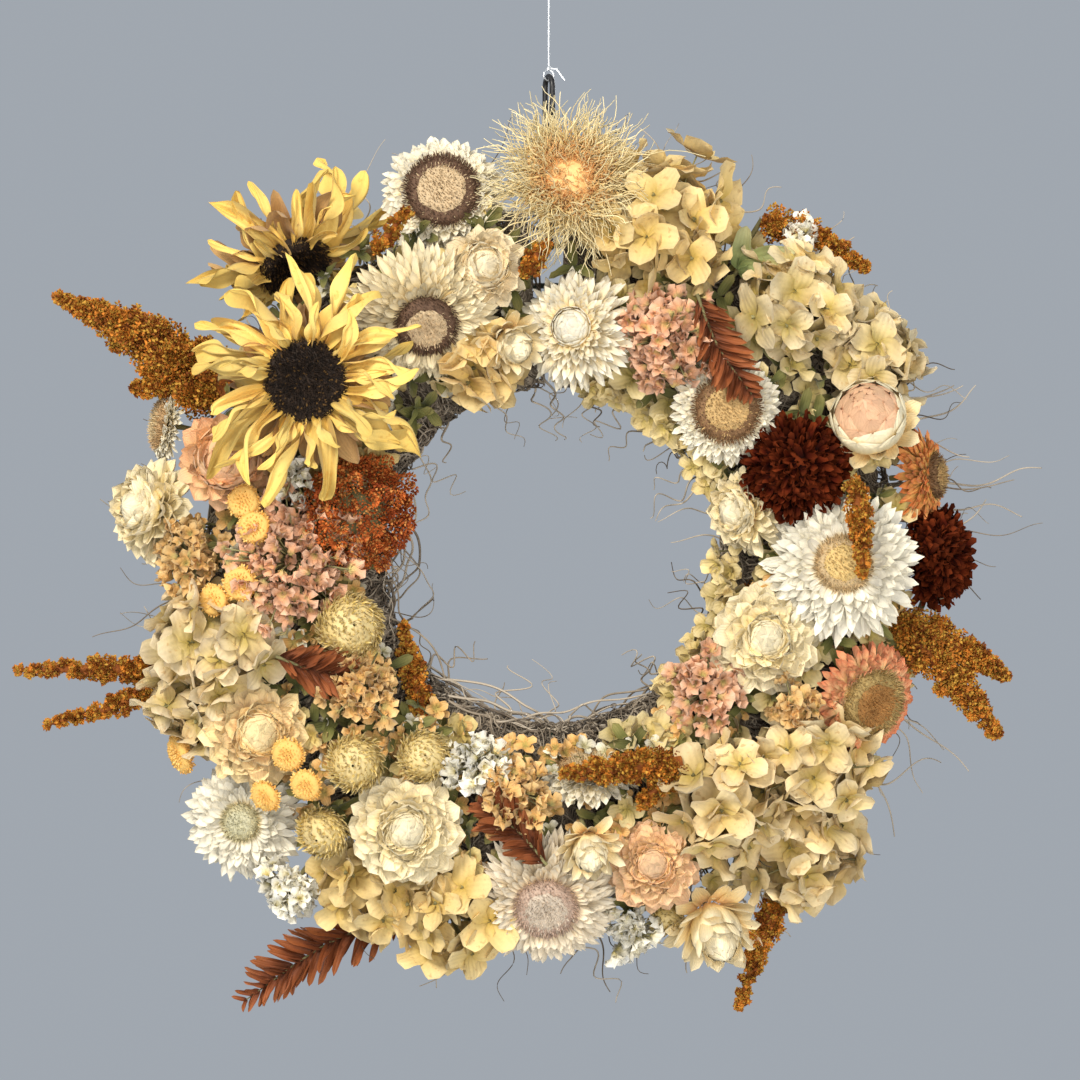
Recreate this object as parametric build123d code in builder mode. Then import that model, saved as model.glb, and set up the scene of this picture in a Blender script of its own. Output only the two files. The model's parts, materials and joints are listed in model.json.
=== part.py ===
"""Harvest door wreath: dried flowers and seed heads on a moss-bound wire form, hung from a wire loop.

Frame, in millimetres: the origin is the inner top of the wire hanging loop, +Z is up, the flowers face -Y
and the wall is on the +Y side. Places on the wreath are given as on a clock face: an angle in degrees
clockwise from the top, a reach from the ring's centre, and a depth in front of the rails.
"""

import os
from math import cos, radians, sin, sqrt

from build123d import *

os.makedirs("parts", exist_ok=True)

# Ring and wire form
RING_DROP = 195.0  # hanging point down to the ring's centre
RING_SIDE = 1.2  # ring's centre to the right of the hanging point
OUTER_RAIL, INNER_RAIL = 127.0, 78.0  # radii of the two front rails
REAR_RAILS = (111.0, 94.0)  # radii of the two rails at the bottom of the trough
RAIL_WIRE = 2.4
TROUGH = 8.0  # rear rails stand this far behind the front ones
BRACE_WIRE = 2.2
BRACES = 8

# Moss core
CORE_RADIUS = 104.0
MOSS_HALF_WIDTH, MOSS_HALF_DEPTH = 36.0, 22.0
MOSS_DEPTH = 19.0  # centre of the moss in front of the rails
BUNDLES = 12
BUNDLE_GAP = 1.8  # degrees between bundles, where a binding hoop lies
LOOP_SLOT = (356.4, 1.4)  # clock span left free for the hanging loop
BINDING_WIRE = 0.8

# Shell on which the flower heads sit
SHELL_HALF_WIDTH, SHELL_HALF_DEPTH = 50.0, 38.0
MAX_LEAN = 45.0  # degrees that a head at the shell's edge leans away from the front
STEM_RADIUS = 1.3
STEM_IN_MOSS = 9.0

# Hanging gear
LOOP_WIRE = 2.4
EYE_RADIUS = 4.2  # centre line of the eye's bends
EYE_LENGTH = 10.0  # centre line between the two bends
EYE_TURN = 20.0  # degrees that the eye is turned from edge-on
SHANK_RADIUS = 1.9
LINE = 0.7
LINE_TOP = 40.0  # top of the line's straight stretch above the hanging point

FRONT = Vector(0, -1, 0)
BACK = Vector(0, 1, 0)
UP = Vector(0, 0, 1)
CENTRE = Vector(RING_SIDE, 0, -RING_DROP)
RAIL_TOP = Vector(0, 0, -RING_DROP + sqrt(OUTER_RAIL**2 - RING_SIDE**2))


def outward(clock):
    """Unit vector from the ring's centre towards a clock angle."""
    return Vector(sin(radians(clock)), 0, cos(radians(clock)))


def place(clock, reach, depth):
    return CENTRE + outward(clock) * reach + FRONT * depth


def shell_depth(reach):
    """Depth of the flower shell in front of the rails at a reach."""
    share = min(abs(reach - CORE_RADIUS) / SHELL_HALF_WIDTH, 0.95)
    return MOSS_DEPTH + SHELL_HALF_DEPTH * sqrt(1 - share**2)


def facing(clock, reach, look):
    """Unit vector that a head faces: look is (right, up, front), or None to lean with the shell."""
    if look:
        right, up, front = look
        return Vector(right, -front, up).normalized()
    share = max(-1.0, min(1.0, (reach - CORE_RADIUS) / SHELL_HALF_WIDTH))
    lean = radians(MAX_LEAN * share)
    return outward(clock) * sin(lean) + FRONT * cos(lean)


def head_plane(clock, reach, lift=0.0, look=None):
    """Sketch plane through a head's axis: its origin is the head's base and its local Y is what the head faces."""
    axis = facing(clock, reach, look)
    base = place(clock, reach, shell_depth(reach) + lift)
    side = axis.cross(UP if abs(axis.Z) < 0.9 else Vector(1, 0, 0)).normalized()
    return Plane(origin=base, x_dir=side, z_dir=side.cross(axis))


def stem_length(reach, lift):
    """Length of a stem from the head's base to its end in the moss, along the head's own axis."""
    return max(14.0, shell_depth(reach) - MOSS_DEPTH - MOSS_HALF_DEPTH + lift + STEM_IN_MOSS)


def save(part, name):
    part.label = name
    export_step(part, f"parts/{name}.step")


# ---------------------------------------------------------------- wire form


def wire_rings():
    """Four welded rings: an outer and an inner rail in front, and two rails at the back of the trough."""
    with BuildPart() as rings:
        for radius, back in (
            (OUTER_RAIL, 0),
            (REAR_RAILS[0], TROUGH),
            (REAR_RAILS[1], TROUGH),
            (INNER_RAIL, 0),
        ):
            with Locations(Plane(origin=CENTRE + BACK * back, z_dir=FRONT)):
                Torus(radius, RAIL_WIRE / 2)
    return rings.part


def wire_braces():
    """Cross wires that run behind all four rails, bent to the trough and welded to each rail."""
    weld = 0.1
    seat = (RAIL_WIRE + BRACE_WIRE) / 2 - weld
    with BuildPart() as braces:
        for k in range(BRACES):
            clock = (k + 0.5) * 360 / BRACES + 1.5
            out = outward(clock)
            profile = [
                (OUTER_RAIL + 3, seat),
                (OUTER_RAIL - 5, seat),
                (REAR_RAILS[0] + 4, TROUGH + seat),
                (REAR_RAILS[1] - 4, TROUGH + seat),
                (INNER_RAIL + 5, seat),
                (INNER_RAIL - 3, seat),
            ]
            points = [CENTRE + out * reach + BACK * back for reach, back in profile]
            with BuildLine() as path:
                FilletPolyline(*points, radius=3)
            with BuildSketch(Plane(origin=points[0], z_dir=points[1] - points[0])):
                Circle(BRACE_WIRE / 2)
            sweep(path=path.line)
    return braces.part


# ---------------------------------------------------------------- moss and binding


def bundle_span(k):
    """First and last clock angle of a moss bundle."""
    step = 360 / BUNDLES
    start = LOOP_SLOT[1] if k == 0 else k * step + BUNDLE_GAP / 2
    end = LOOP_SLOT[0] if k == BUNDLES - 1 else (k + 1) * step - BUNDLE_GAP / 2
    return start, end


def moss_bundles():
    """Twelve bundles of moss, each an oval bolster bent to the ring, resting in the trough."""
    with BuildPart() as bundles:
        for k in range(BUNDLES):
            start, end = bundle_span(k)
            out = outward(start)
            section = Plane(origin=CENTRE, x_dir=out, z_dir=out.cross(BACK))
            with BuildSketch(section):
                with Locations((CORE_RADIUS, -MOSS_DEPTH)):
                    Ellipse(MOSS_HALF_WIDTH, MOSS_HALF_DEPTH)
            revolve(axis=Axis(CENTRE, BACK), revolution_arc=end - start)
    return bundles.part


def binding_hoops():
    """Turns of binding wire in the gaps between bundles, around the moss and the rails."""
    sink = 1.5
    rear = TROUGH + (RAIL_WIRE + BINDING_WIRE) / 2 + 0.15
    side = (RAIL_WIRE + BINDING_WIRE) / 2 + 0.15
    outline = [
        (MOSS_HALF_WIDTH - sink, -MOSS_DEPTH),
        (MOSS_HALF_WIDTH * 0.72, -MOSS_DEPTH - MOSS_HALF_DEPTH * 0.72 + sink),
        (0, -MOSS_DEPTH - MOSS_HALF_DEPTH + sink),
        (-MOSS_HALF_WIDTH * 0.72, -MOSS_DEPTH - MOSS_HALF_DEPTH * 0.72 + sink),
        (-MOSS_HALF_WIDTH + sink, -MOSS_DEPTH),
        (INNER_RAIL - CORE_RADIUS - 1.0, side),
        (REAR_RAILS[1] - CORE_RADIUS - 2.5, rear),
        (REAR_RAILS[0] - CORE_RADIUS + 2.5, rear),
        (OUTER_RAIL - CORE_RADIUS + 1.0, side),
    ]
    with BuildPart() as hoops:
        for k in range(1, BUNDLES):
            out = outward(k * 360 / BUNDLES)
            plane = Plane(origin=CENTRE + out * CORE_RADIUS, x_dir=out, z_dir=out.cross(BACK))
            points = [plane.from_local_coords((across, back, 0)) for across, back in outline]
            with BuildLine() as path:
                FilletPolyline(*points, radius=3.5, close=True)
            start = path.line.edges()[0]
            with BuildSketch(Plane(origin=start @ 0, z_dir=start % 0)):
                Circle(BINDING_WIRE / 2)
            sweep(path=path.line)
    return hoops.part


# ---------------------------------------------------------------- hanging gear


def hanging_loop():
    """Coated wire bent to an eye above, twisted to a shank, and closed round the outer rail below."""
    turn = radians(EYE_TURN)
    across = Vector(-sin(turn), cos(turn), 0)
    top = LOOP_WIRE / 2 - EYE_RADIUS
    eye_plane = Plane(origin=(0, 0, top), x_dir=across, z_dir=across.cross(UP))
    shank_top = top - EYE_LENGTH - EYE_RADIUS
    grip = RAIL_WIRE / 2 + LOOP_WIRE / 2 + 0.4
    with BuildPart() as loop:
        with BuildLine(eye_plane) as eye:
            right = Line((EYE_RADIUS, -EYE_LENGTH), (EYE_RADIUS, 0))
            crown = ThreePointArc(right @ 1, (0, EYE_RADIUS), (-EYE_RADIUS, 0))
            left = Line(crown @ 1, (-EYE_RADIUS, -EYE_LENGTH))
            ThreePointArc(left @ 1, (0, -EYE_LENGTH - EYE_RADIUS), right @ 0)
        with BuildSketch(Plane(origin=right @ 0, z_dir=right % 0)):
            Circle(LOOP_WIRE / 2)
        sweep(path=eye.line)
        with Locations(Plane(origin=RAIL_TOP, z_dir=(1, 0, 0))):
            Torus(grip, LOOP_WIRE / 2)
        shank = Plane(origin=RAIL_TOP + UP * grip, z_dir=UP)
        with Locations(shank):
            height = shank_top - shank.origin.Z
            Cylinder(SHANK_RADIUS, height, align=(Align.CENTER, Align.CENTER, Align.MIN))
    return loop.part


def line_knot():
    """The line's turn round the top of the eye, its knot, and the short tag end."""
    turn_radius = LOOP_WIRE / 2 + LINE / 2 + 0.65
    wire = Vector(-sin(radians(EYE_TURN)), cos(radians(EYE_TURN)), 0)
    centre = Vector(0, 0, LOOP_WIRE / 2 + 0.45)
    knot_radius = 0.95
    stub = knot_radius + 0.05
    knot = centre + UP * (turn_radius + 0.7)
    tag = Vector(0.72, -0.15, -1)
    with BuildPart() as piece:
        with Locations(Plane(origin=centre, z_dir=wire)):
            Torus(turn_radius, LINE / 2)
        with Locations(knot):
            Sphere(knot_radius)
            Cylinder(LINE / 2, stub, align=(Align.CENTER, Align.CENTER, Align.MIN))
        with Locations(Plane(origin=knot + Vector(0.6, -0.1, 0), z_dir=Vector(1, -0.2, -0.1))):
            Cylinder(LINE / 2, 2.6, align=(Align.CENTER, Align.CENTER, Align.MIN))
        bend = knot + Vector(0.6, -0.1, 0) + Vector(1, -0.2, -0.1).normalized() * 2.6
        with Locations(bend):
            Sphere(LINE / 2)
        with Locations(Plane(origin=bend, z_dir=tag)):
            Cylinder(LINE / 2, 6.0, align=(Align.CENTER, Align.CENTER, Align.MIN))
    return piece.part, knot.Z + stub


def hanging_line(bottom):
    """The straight stretch of clear line, from the knot to the eye above."""
    with BuildPart(Plane.XY.offset(bottom)) as piece:
        height = LINE_TOP - bottom
        Cylinder(LINE / 2, height, align=(Align.CENTER, Align.CENTER, Align.MIN))
    return piece.part


def line_eye():
    """A small knot and the eye above it, by which the line hangs on a hook."""
    eye_radius, knot_radius = 3.2, 0.95
    with BuildPart() as piece:
        with Locations((0, 0, LINE_TOP + knot_radius + 0.05)):
            Sphere(knot_radius)
        with BuildSketch(Plane.XY.offset(LINE_TOP)):
            Circle(LINE / 2)
        extrude(amount=knot_radius)
        with Locations(Plane(origin=(0, 0, LINE_TOP + knot_radius * 2 + eye_radius - 0.15), z_dir=(0, 1, 0))):
            Torus(eye_radius, LINE / 2)
    return piece.part


# ---------------------------------------------------------------- flower heads


def turned(plane, draw):
    """A solid turned about the plane's local Y. draw makes the closed outline on the side x >= 0."""
    with BuildPart() as piece:
        with BuildSketch(plane):
            with BuildLine():
                draw()
            make_face()
        revolve(axis=Axis(plane.origin, plane.y_dir))
    return piece.part


def open_head(plane, radius, eye, stem, rim=0.24, crown=0.34):
    """An open flower: a stem, a shallow cup of bracts and a raised eye in the middle."""

    def draw():
        back = Line((STEM_RADIUS, -stem), (STEM_RADIUS, -0.04 * radius))
        under = ThreePointArc(
            back @ 1, (0.62 * radius, (rim - 0.2) * radius), (radius, rim * radius)
        )
        lip = Line(under @ 1, (0.96 * radius, (rim + 0.06) * radius))
        face = ThreePointArc(lip @ 1, ((0.9 * radius + eye) / 2, (rim - 0.05) * radius), (eye, 0.2 * radius))
        dome = ThreePointArc(face @ 1, (0.72 * eye, (crown - 0.03) * radius), (0.06 * radius, crown * radius))
        Polyline(dome @ 1, (0, crown * radius), (0, -stem), back @ 0)

    return turned(plane, draw)


def closed_head(plane, radius, stem, height=1.25):
    """A bud or a globe: a stem and an egg of overlapping bracts."""

    def draw():
        back = Line((STEM_RADIUS, -stem), (STEM_RADIUS, 0))
        belly = ThreePointArc(back @ 1, (0.8 * radius, 0.2 * radius), (radius, 0.55 * height * radius))
        top = height * radius
        cap = ThreePointArc(belly @ 1, (0.68 * radius, 0.88 * top), (0.08 * radius, top))
        Polyline(cap @ 1, (0, top), (0, -stem), back @ 0)

    return turned(plane, draw)


def dome_head(plane, radius, stem, height):
    """A cluster of many small florets: a stem and a cushion with a full edge."""

    def draw():
        back = Line((STEM_RADIUS, -stem), (STEM_RADIUS, 0))
        under = ThreePointArc(back @ 1, (0.7 * radius, 0.08 * height), (radius, 0.42 * height))
        cap = ThreePointArc(under @ 1, (0.7 * radius, 0.86 * height), (0.08 * radius, height))
        Polyline(cap @ 1, (0, height), (0, -stem), back @ 0)

    return turned(plane, draw)


def rayed_head(plane, radius, hub, rays, stem, thick=2.4):
    """Sunflower rays: a flat whorl of pointed petals on a round base and its stem."""
    axis = plane.y_dir
    flat = Plane(origin=plane.origin, x_dir=plane.x_dir, z_dir=axis)
    tips = []
    for k in range(rays):
        for half, reach in ((-0.28, 0.62), (0, 1.0), (0.28, 0.62), (0.5, 0.5)):
            turn = radians((k + half) * 360 / rays)
            tips.append((radius * reach * cos(turn), radius * reach * sin(turn)))
    with BuildPart() as piece:
        with BuildSketch(flat):
            Polygon(*tips, align=None)
        extrude(amount=thick)
        with Locations(flat):
            Cylinder(hub, 4.0, align=(Align.CENTER, Align.CENTER, Align.MAX))
            Cylinder(STEM_RADIUS * 2, stem, align=(Align.CENTER, Align.CENTER, Align.MAX))
    return piece.part, flat.offset(thick)


def seed_disc(plane, radius, height):
    """Sunflower disc: a low dome of seeds that sits on the rays."""
    with BuildPart(plane) as piece:
        Cylinder(radius, height, align=(Align.CENTER, Align.CENTER, Align.MIN))
        fillet(piece.faces().sort_by(Axis(plane.origin, plane.z_dir))[-1].edges(), height * 0.7)
    return piece.part


def stem_to_core(clock, reach, depth):
    """Adds a stem from a point down into the moss, straight towards the core circle."""
    top = place(clock, reach, depth)
    drop = place(clock, CORE_RADIUS, MOSS_DEPTH) - top
    edge = sqrt(
        ((reach - CORE_RADIUS) / MOSS_HALF_WIDTH) ** 2 + ((depth - MOSS_DEPTH) / MOSS_HALF_DEPTH) ** 2
    )
    length = drop.length * (1 - 1 / edge) + STEM_IN_MOSS
    with Locations(Plane(origin=top, z_dir=drop)):
        Cylinder(STEM_RADIUS, length, align=(Align.CENTER, Align.CENTER, Align.MIN))


def spikes(branches):
    """Amaranth: drooping tapered tassels on one stem. branches lists (points along it, radii there)."""
    with BuildPart() as piece:
        for points, radii in branches:
            knots = [place(*point) for point in points]
            spans = [(b - a).length for a, b in zip(knots, knots[1:])]
            with BuildLine() as path:
                wire = Spline(*knots) if len(knots) > 2 else Line(*knots)
            for k, radius in enumerate(radii):
                with BuildSketch(wire ^ (sum(spans[:k]) / sum(spans))):
                    Circle(radius)
            sweep(path=path.line, multisection=True)
        stem_to_core(*branches[0][0][0])
    return piece.part


def blade(base, tip, width, thick=1.6, face=(0.0, 0.0, 1.0)):
    """A frond or a leaf: a flat lens from base to tip. face is (right, up, front), which its flat side faces."""
    a, b = place(*base), place(*tip)
    right, up, front = face
    toward = Vector(right, -front, up)
    along = (b - a).normalized()
    normal = (toward - along * toward.dot(along)).normalized()
    length = (b - a).length
    with BuildPart() as piece:
        with BuildSketch(Plane(origin=a, x_dir=along, z_dir=normal)):
            with BuildLine():
                upper = ThreePointArc((0, 0), (0.45 * length, width / 2), (length, 0))
                ThreePointArc(upper @ 1, (0.45 * length, -width / 2), upper @ 0)
            make_face()
        extrude(amount=thick / 2, both=True)
        stem_to_core(*base)
    return piece.part


# ---------------------------------------------------------------- the flowers
# Open strawflowers: clock, reach, radius, eye radius, lift and the way they look.
STRAWFLOWERS = {
    "strawflower_ivory_top": (343, 151, 20, 11, 2, (0, 0.25, 1)),
    "strawflower_cream_top": (332, 107, 21, 9, 0, (0.1, -0.5, 0.9)),
    "strawflower_cream_inner_top": (6, 90, 18, 5, 0, (-0.3, 0.1, 1)),
    "strawflower_brown_eye": (50, 90, 18, 9, 0, (0, 0, 1)),
    "strawflower_orange_side": (78, 153, 13, 7, 0, (1, 0.05, 0.4)),
    "strawflower_white_large": (91.8, 115, 26, 9, 4, (-0.05, 0.08, 1)),
    "strawflower_cream_side": (77, 80, 13, 5, -4, (-0.75, -0.1, 0.7)),
    "strawflower_yellow_right": (111.5, 91, 18, 6, 0, (0, 0.1, 1)),
    "strawflower_pink_brown_eye": (114.7, 137, 18, 10, 0, (0.5, -0.3, 0.8)),
    "strawflower_upright": (170.4, 89, 14, 10, -12, (0, 0.9, 0.45)),
    "strawflower_pink_bottom": (162, 129, 15, 6, 0, (0, 0.1, 1)),
    "strawflower_blush_bottom": (181, 137, 22, 10, 0, (0, -0.4, 0.9)),
    "strawflower_pale_bottom": (208, 123, 18, 6, 2, (0.1, 0, 1)),
    "strawflower_white_left": (229.3, 163, 20, 6, 0, (-0.2, -0.1, 1)),
    "strawflower_peach_left": (238.6, 137, 16, 6, 0, (0.1, 0.1, 1)),
    "strawflower_white_side": (276.6, 160, 16, 6, 0, (-0.8, 0.1, 0.7)),
    "strawflower_pink_left": (286.2, 134, 15, 6, 0, (0, 0.1, 1)),
    "strawflower_side_dome": (288.8, 163, 12, 9, -4, (-1, 0.15, 0.3)),
    "strawflower_peach_top": (346.5, 117, 12, 5, 0, (0.1, 0.1, 1)),
}
# Closed heads: clock, reach, radius, lift and look.
BUDS = (
    (348, 88, 7.5, 0, (0.4, -0.4, 0.8)),
    (68.8, 137, 11.5, 0, (-0.2, 0.4, 0.9)),
    (172.8, 113, 7.5, 2, (0.1, -0.6, 0.8)),
    (156.2, 157, 11, -2, (0.2, -0.6, 0.75)),
)
GLOBES = (
    (250.7, 87, 12.5, -4, None),
    (223.5, 112, 10.5, -3, None),
    (219.6, 139, 10, -2, None),
    (212.5, 95, 9.5, -4, None),
    (162.5, 150, 6.5, -4, None),
)
BUTTONS = (
    (280, 121, 4.4, 0, None),
    (275.5, 116, 4.4, 0, None),
    (264.9, 121, 4.6, 0, None),
    (262.5, 131, 4.2, 0, None),
    (233, 127, 4.4, 3, None),
    (227, 129, 4.2, 5, None),
    (230, 143, 4.2, 4, None),
    (241.5, 161, 5.5, -6, (-0.8, -0.3, 0.5)),
)
ZINNIAS = {
    "zinnia_inner": (70, 103, 17.5, 0, (0, 0.25, 1)),
    "zinnia_outer": (90.3, 155, 14, -2, (0.75, 0, 0.7)),
}
# Clusters of florets: name, then clock, reach, radius, height, lift and look of each bunch.
CLUSTERS = {
    "hydrangea_top": ((19, 140, 20, 16, -1, None), (340, 82, 8, 8, -6, None)),
    "hydrangea_right": ((44, 139, 16, 13, 0, None), (58, 149, 17, 14, 0, None)),
    "hydrangea_lower_right": (
        (129, 134, 16, 14, 0, None),
        (143, 121, 16, 13, 0, None),
        (140, 157, 16, 14, 0, None),
    ),
    "hydrangea_bottom": ((196, 148, 15, 13, 0, None), (209, 151, 14, 12, 0, None)),
    "hydrangea_left": ((248, 152, 14, 13, 0, None), (256, 137, 15, 13, 0, None)),
    "spider_flower": ((2.5, 147, 19, 13, 8, (0.1, 0.35, 1)),),
    "amaranth_orange": ((282, 79, 17, 14, 0, None),),
    "statice_pink": (
        (28, 97, 12, 10, 0, None),
        (269, 102, 15, 11, 0, None),
        (131, 82, 9, 9, 0, None),
    ),
    "statice_peach": (
        (270, 143, 9, 8, 0, None),
        (235, 93, 9, 9, 0, None),
        (189, 95, 9, 9, 0, None),
        (122, 112, 6, 8, 2, None),
    ),
    "statice_white": (
        (218, 168, 8, 8, 0, None),
        (200, 88, 7, 8, 0, None),
        (168, 151, 7, 8, 0, None),
        (38, 161, 7, 8, -4, None),
        (287, 107, 5, 7, 0, None),
    ),
}
# Amaranth tassels: (clock, reach, depth) along each branch, and its radius there.
AMARANTHS = {
    "amaranth_upper_left": (
        (((296, 146, 30), (298, 188, 30), (297.6, 226, 24)), (9, 8, 2.6)),
        (((297.5, 152, 30), (291.8, 181, 34)), (6.4, 3.6)),
    ),
    "amaranth_left": (
        (((253, 160, 18), (256, 190, 22), (257.9, 221, 24)), (5, 5, 2.4)),
        (((253, 160, 18), (251, 185, 24), (251.5, 215, 26)), (5, 4.5, 2.4)),
    ),
    "amaranth_inner_left": ((((217, 83, 44), (230, 73, 36), (245, 66, 28)), (4, 5, 2.4)),),
    "amaranth_top_right": ((((32, 160, 16), (40, 165, 16), (47.6, 170, 18)), (5, 6, 3)),),
    "amaranth_inner_right": ((((98, 86, 34), (108, 74, 32), (123, 66, 28)), (4.5, 4.5, 2.2)),),
    "amaranth_right": (
        (((101, 140, 34), (103, 170, 32), (105, 190, 28)), (9, 7, 2.8)),
        (((101, 140, 34), (107, 168, 38), (111.9, 193, 32)), (9, 8, 3)),
    ),
    "amaranth_bottom_centre": (
        (((148, 96, 60), (162, 88, 66), (177, 86, 62)), (5, 6, 3)),
        (((148, 96, 60), (160, 104, 60)), (5, 4)),
    ),
    "amaranth_bottom_right": ((((147, 166, 30), (152, 178, 30), (157.5, 197, 26)), (5, 5, 3)),),
}
SPRIGS = (
    (((332.5, 140, 52), (337, 148, 54)), (4.5, 2.6)),
    (((355, 112, 60), (358, 122, 62)), (4, 5)),
    (((76, 122, 70), (85, 121, 78), (93.6, 121, 80)), (4.5, 4.5, 2.6)),
)


def fern_fronds():
    """Rust-brown fern: a long frond below and three short ones tucked between the flowers."""
    fronds = (
        blade((200, 152, 12), (214.5, 219, 14), 17),
        blade((36, 113, 62), (46, 104, 64), 7),
        blade((184, 117, 62), (191, 104, 60), 6),
        blade((244, 112, 60), (241, 96, 56), 6),
    )
    return Compound(children=list(fronds))


def group(heads):
    return heads[0] if len(heads) == 1 else Compound(children=heads)


TENDRILS = (
    ((77, 133, 6), (78, 160, 4), (81, 178, 6), (85, 198, 4), (90, 209, 6)),
    ((74, 133, 10), (72, 158, 8), (70, 178, 6), (72, 190, 8)),
    ((113, 133, 8), (118, 165, 6), (121, 180, 8), (124, 196, 8)),
    ((236, 133, 6), (233, 168, 4), (228, 180, 6), (226, 190, 8)),
    ((222, 133, 4), (217, 176, 2), (210, 184, 4), (203, 180, 4)),
    ((190, 133, 4), (187, 176, 2), (188, 188, 4)),
    ((172, 133, 4), (174, 160, 2), (172, 172, 4)),
    ((263, 133, 8), (264, 172, 6), (265, 190, 8)),
    ((286, 76, 10), (280, 62, 8), (268, 52, 10), (258, 56, 8), (244, 50, 10)),
    ((222, 76, 10), (212, 62, 8), (200, 66, 10), (188, 62, 8), (176, 66, 8)),
    ((318, 133, 4), (322, 172, 6), (325, 186, 4), (330, 178, 4)),
    ((10, 133, 4), (11, 168, 2), (13, 176, 4)),
)


def moss_tendrils():
    """Long stray strands of the moss, curling out past the flowers."""
    strand = 0.6
    with BuildPart() as tendrils:
        for points in TENDRILS:
            knots = [place(*point) for point in points]
            with BuildLine() as path:
                if len(knots) > 2:
                    FilletPolyline(*knots, radius=5)
            with BuildSketch(Plane(origin=knots[0], z_dir=knots[1] - knots[0])):
                Circle(strand)
            sweep(path=path.line)
    return tendrils.part


def main():
    save(wire_rings(), "frame_rings")
    save(wire_braces(), "frame_braces")
    save(moss_bundles(), "moss_bundles")
    save(binding_hoops(), "binding_wire")
    save(moss_tendrils(), "moss_tendrils")

    save(hanging_loop(), "hanging_loop")
    knot, knot_top = line_knot()
    save(knot, "line_knot")
    save(hanging_line(knot_top), "hanging_line")
    save(line_eye(), "line_eye")

    for name, (clock, reach, radius, eye, lift, look) in STRAWFLOWERS.items():
        plane = head_plane(clock, reach, lift, look)
        save(open_head(plane, radius, eye, stem_length(reach, lift)), name)
    for name, (clock, reach, radius, lift, look) in ZINNIAS.items():
        plane = head_plane(clock, reach, lift, look)
        save(dome_head(plane, radius, stem_length(reach, lift), 0.6 * radius), name)
    for name, heads, height in (
        ("strawflower_buds", BUDS, 1.3),
        ("gomphrena_globes", GLOBES, 1.5),
        ("tansy_buttons", BUTTONS, 0.9),
    ):
        made = []
        for clock, reach, radius, lift, look in heads:
            plane = head_plane(clock, reach, lift, look)
            made.append(closed_head(plane, radius, stem_length(reach, lift), height))
        save(group(made), name)
    for name, bunches in CLUSTERS.items():
        made = []
        for clock, reach, radius, height, lift, look in bunches:
            plane = head_plane(clock, reach, lift, look)
            made.append(dome_head(plane, radius, stem_length(reach, lift), height))
        save(group(made), name)

    for name, clock, reach, radius, disc, lift, look in (
        ("sunflower_upper", 318.6, 158, 32, 15, 4, (0.25, -0.6, 1)),
        ("sunflower_lower", 305.5, 118, 42, 16, 20, (0, 0, 1)),
    ):
        plane = head_plane(clock, reach, lift, look)
        rays, seat = rayed_head(plane, radius, 9, 16, stem_length(reach, lift))
        save(rays, name + "_rays")
        save(seed_disc(seat, disc, 5.0), name + "_disc")

    for name, branches in AMARANTHS.items():
        save(spikes(branches), name)
    save(group([spikes([branch]) for branch in SPRIGS]), "amaranth_sprigs")
    save(fern_fronds(), "fern_fronds")
    save(blade((33, 136, 46), (38, 152, 40), 8, face=(0.2, 0.2, 1)), "hydrangea_leaf")


main()
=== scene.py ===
"""Harvest door wreath: the looks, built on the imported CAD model.
Lengths are in millimetres until a mesh is made."""

import json
import math

import bpy
import numpy as np
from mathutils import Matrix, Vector


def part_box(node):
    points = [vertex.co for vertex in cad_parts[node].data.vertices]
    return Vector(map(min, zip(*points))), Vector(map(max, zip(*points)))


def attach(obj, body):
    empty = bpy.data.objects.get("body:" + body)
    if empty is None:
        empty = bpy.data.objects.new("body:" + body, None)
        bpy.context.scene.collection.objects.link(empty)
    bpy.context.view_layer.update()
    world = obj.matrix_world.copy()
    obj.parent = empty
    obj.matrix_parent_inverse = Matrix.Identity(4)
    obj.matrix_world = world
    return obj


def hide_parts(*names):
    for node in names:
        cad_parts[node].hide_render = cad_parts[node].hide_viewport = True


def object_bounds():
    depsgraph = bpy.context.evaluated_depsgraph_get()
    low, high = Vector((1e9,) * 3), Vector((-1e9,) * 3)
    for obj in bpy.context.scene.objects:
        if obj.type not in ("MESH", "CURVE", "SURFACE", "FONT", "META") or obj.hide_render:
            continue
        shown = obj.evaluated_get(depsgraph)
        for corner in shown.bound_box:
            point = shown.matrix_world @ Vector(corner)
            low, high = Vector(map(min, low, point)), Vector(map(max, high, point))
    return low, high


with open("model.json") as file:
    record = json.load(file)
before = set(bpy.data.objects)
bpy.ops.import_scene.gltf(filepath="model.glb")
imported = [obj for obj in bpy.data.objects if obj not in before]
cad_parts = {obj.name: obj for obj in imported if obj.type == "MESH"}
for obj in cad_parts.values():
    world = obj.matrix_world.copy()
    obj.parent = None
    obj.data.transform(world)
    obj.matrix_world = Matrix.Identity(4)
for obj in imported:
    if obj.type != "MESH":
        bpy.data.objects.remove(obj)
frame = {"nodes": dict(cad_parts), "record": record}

MM = 0.001
WREATH, HANGER, LINE = "wreath", "hanger", "line"
cad_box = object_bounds()
random = np.random.default_rng(16)

ring_low, ring_high = (np.array(corner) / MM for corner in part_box("frame_rings"))
CENTRE = np.array([(ring_low[0] + ring_high[0]) / 2, 0.0, (ring_low[2] + ring_high[2]) / 2])
WIRE = 1.2  # radius of the wire of the rails and of the hanging loop
RAIL_RADIUS = (ring_high[0] - ring_low[0]) / 2 - WIRE
# the moss: radius of the ring that its middle follows, half its width and depth, and its middle's depth
CORE_RADIUS, MOSS_HALF_WIDTH, MOSS_HALF_DEPTH, MOSS_DEPTH = 104.0, 36.0, 22.0, 19.0
TURN = 2 * math.pi
PHASE = 6.3  # random phases are drawn from 0 to this, a whole turn
FRONT = np.array([0.0, -1.0, 0.0])
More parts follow.
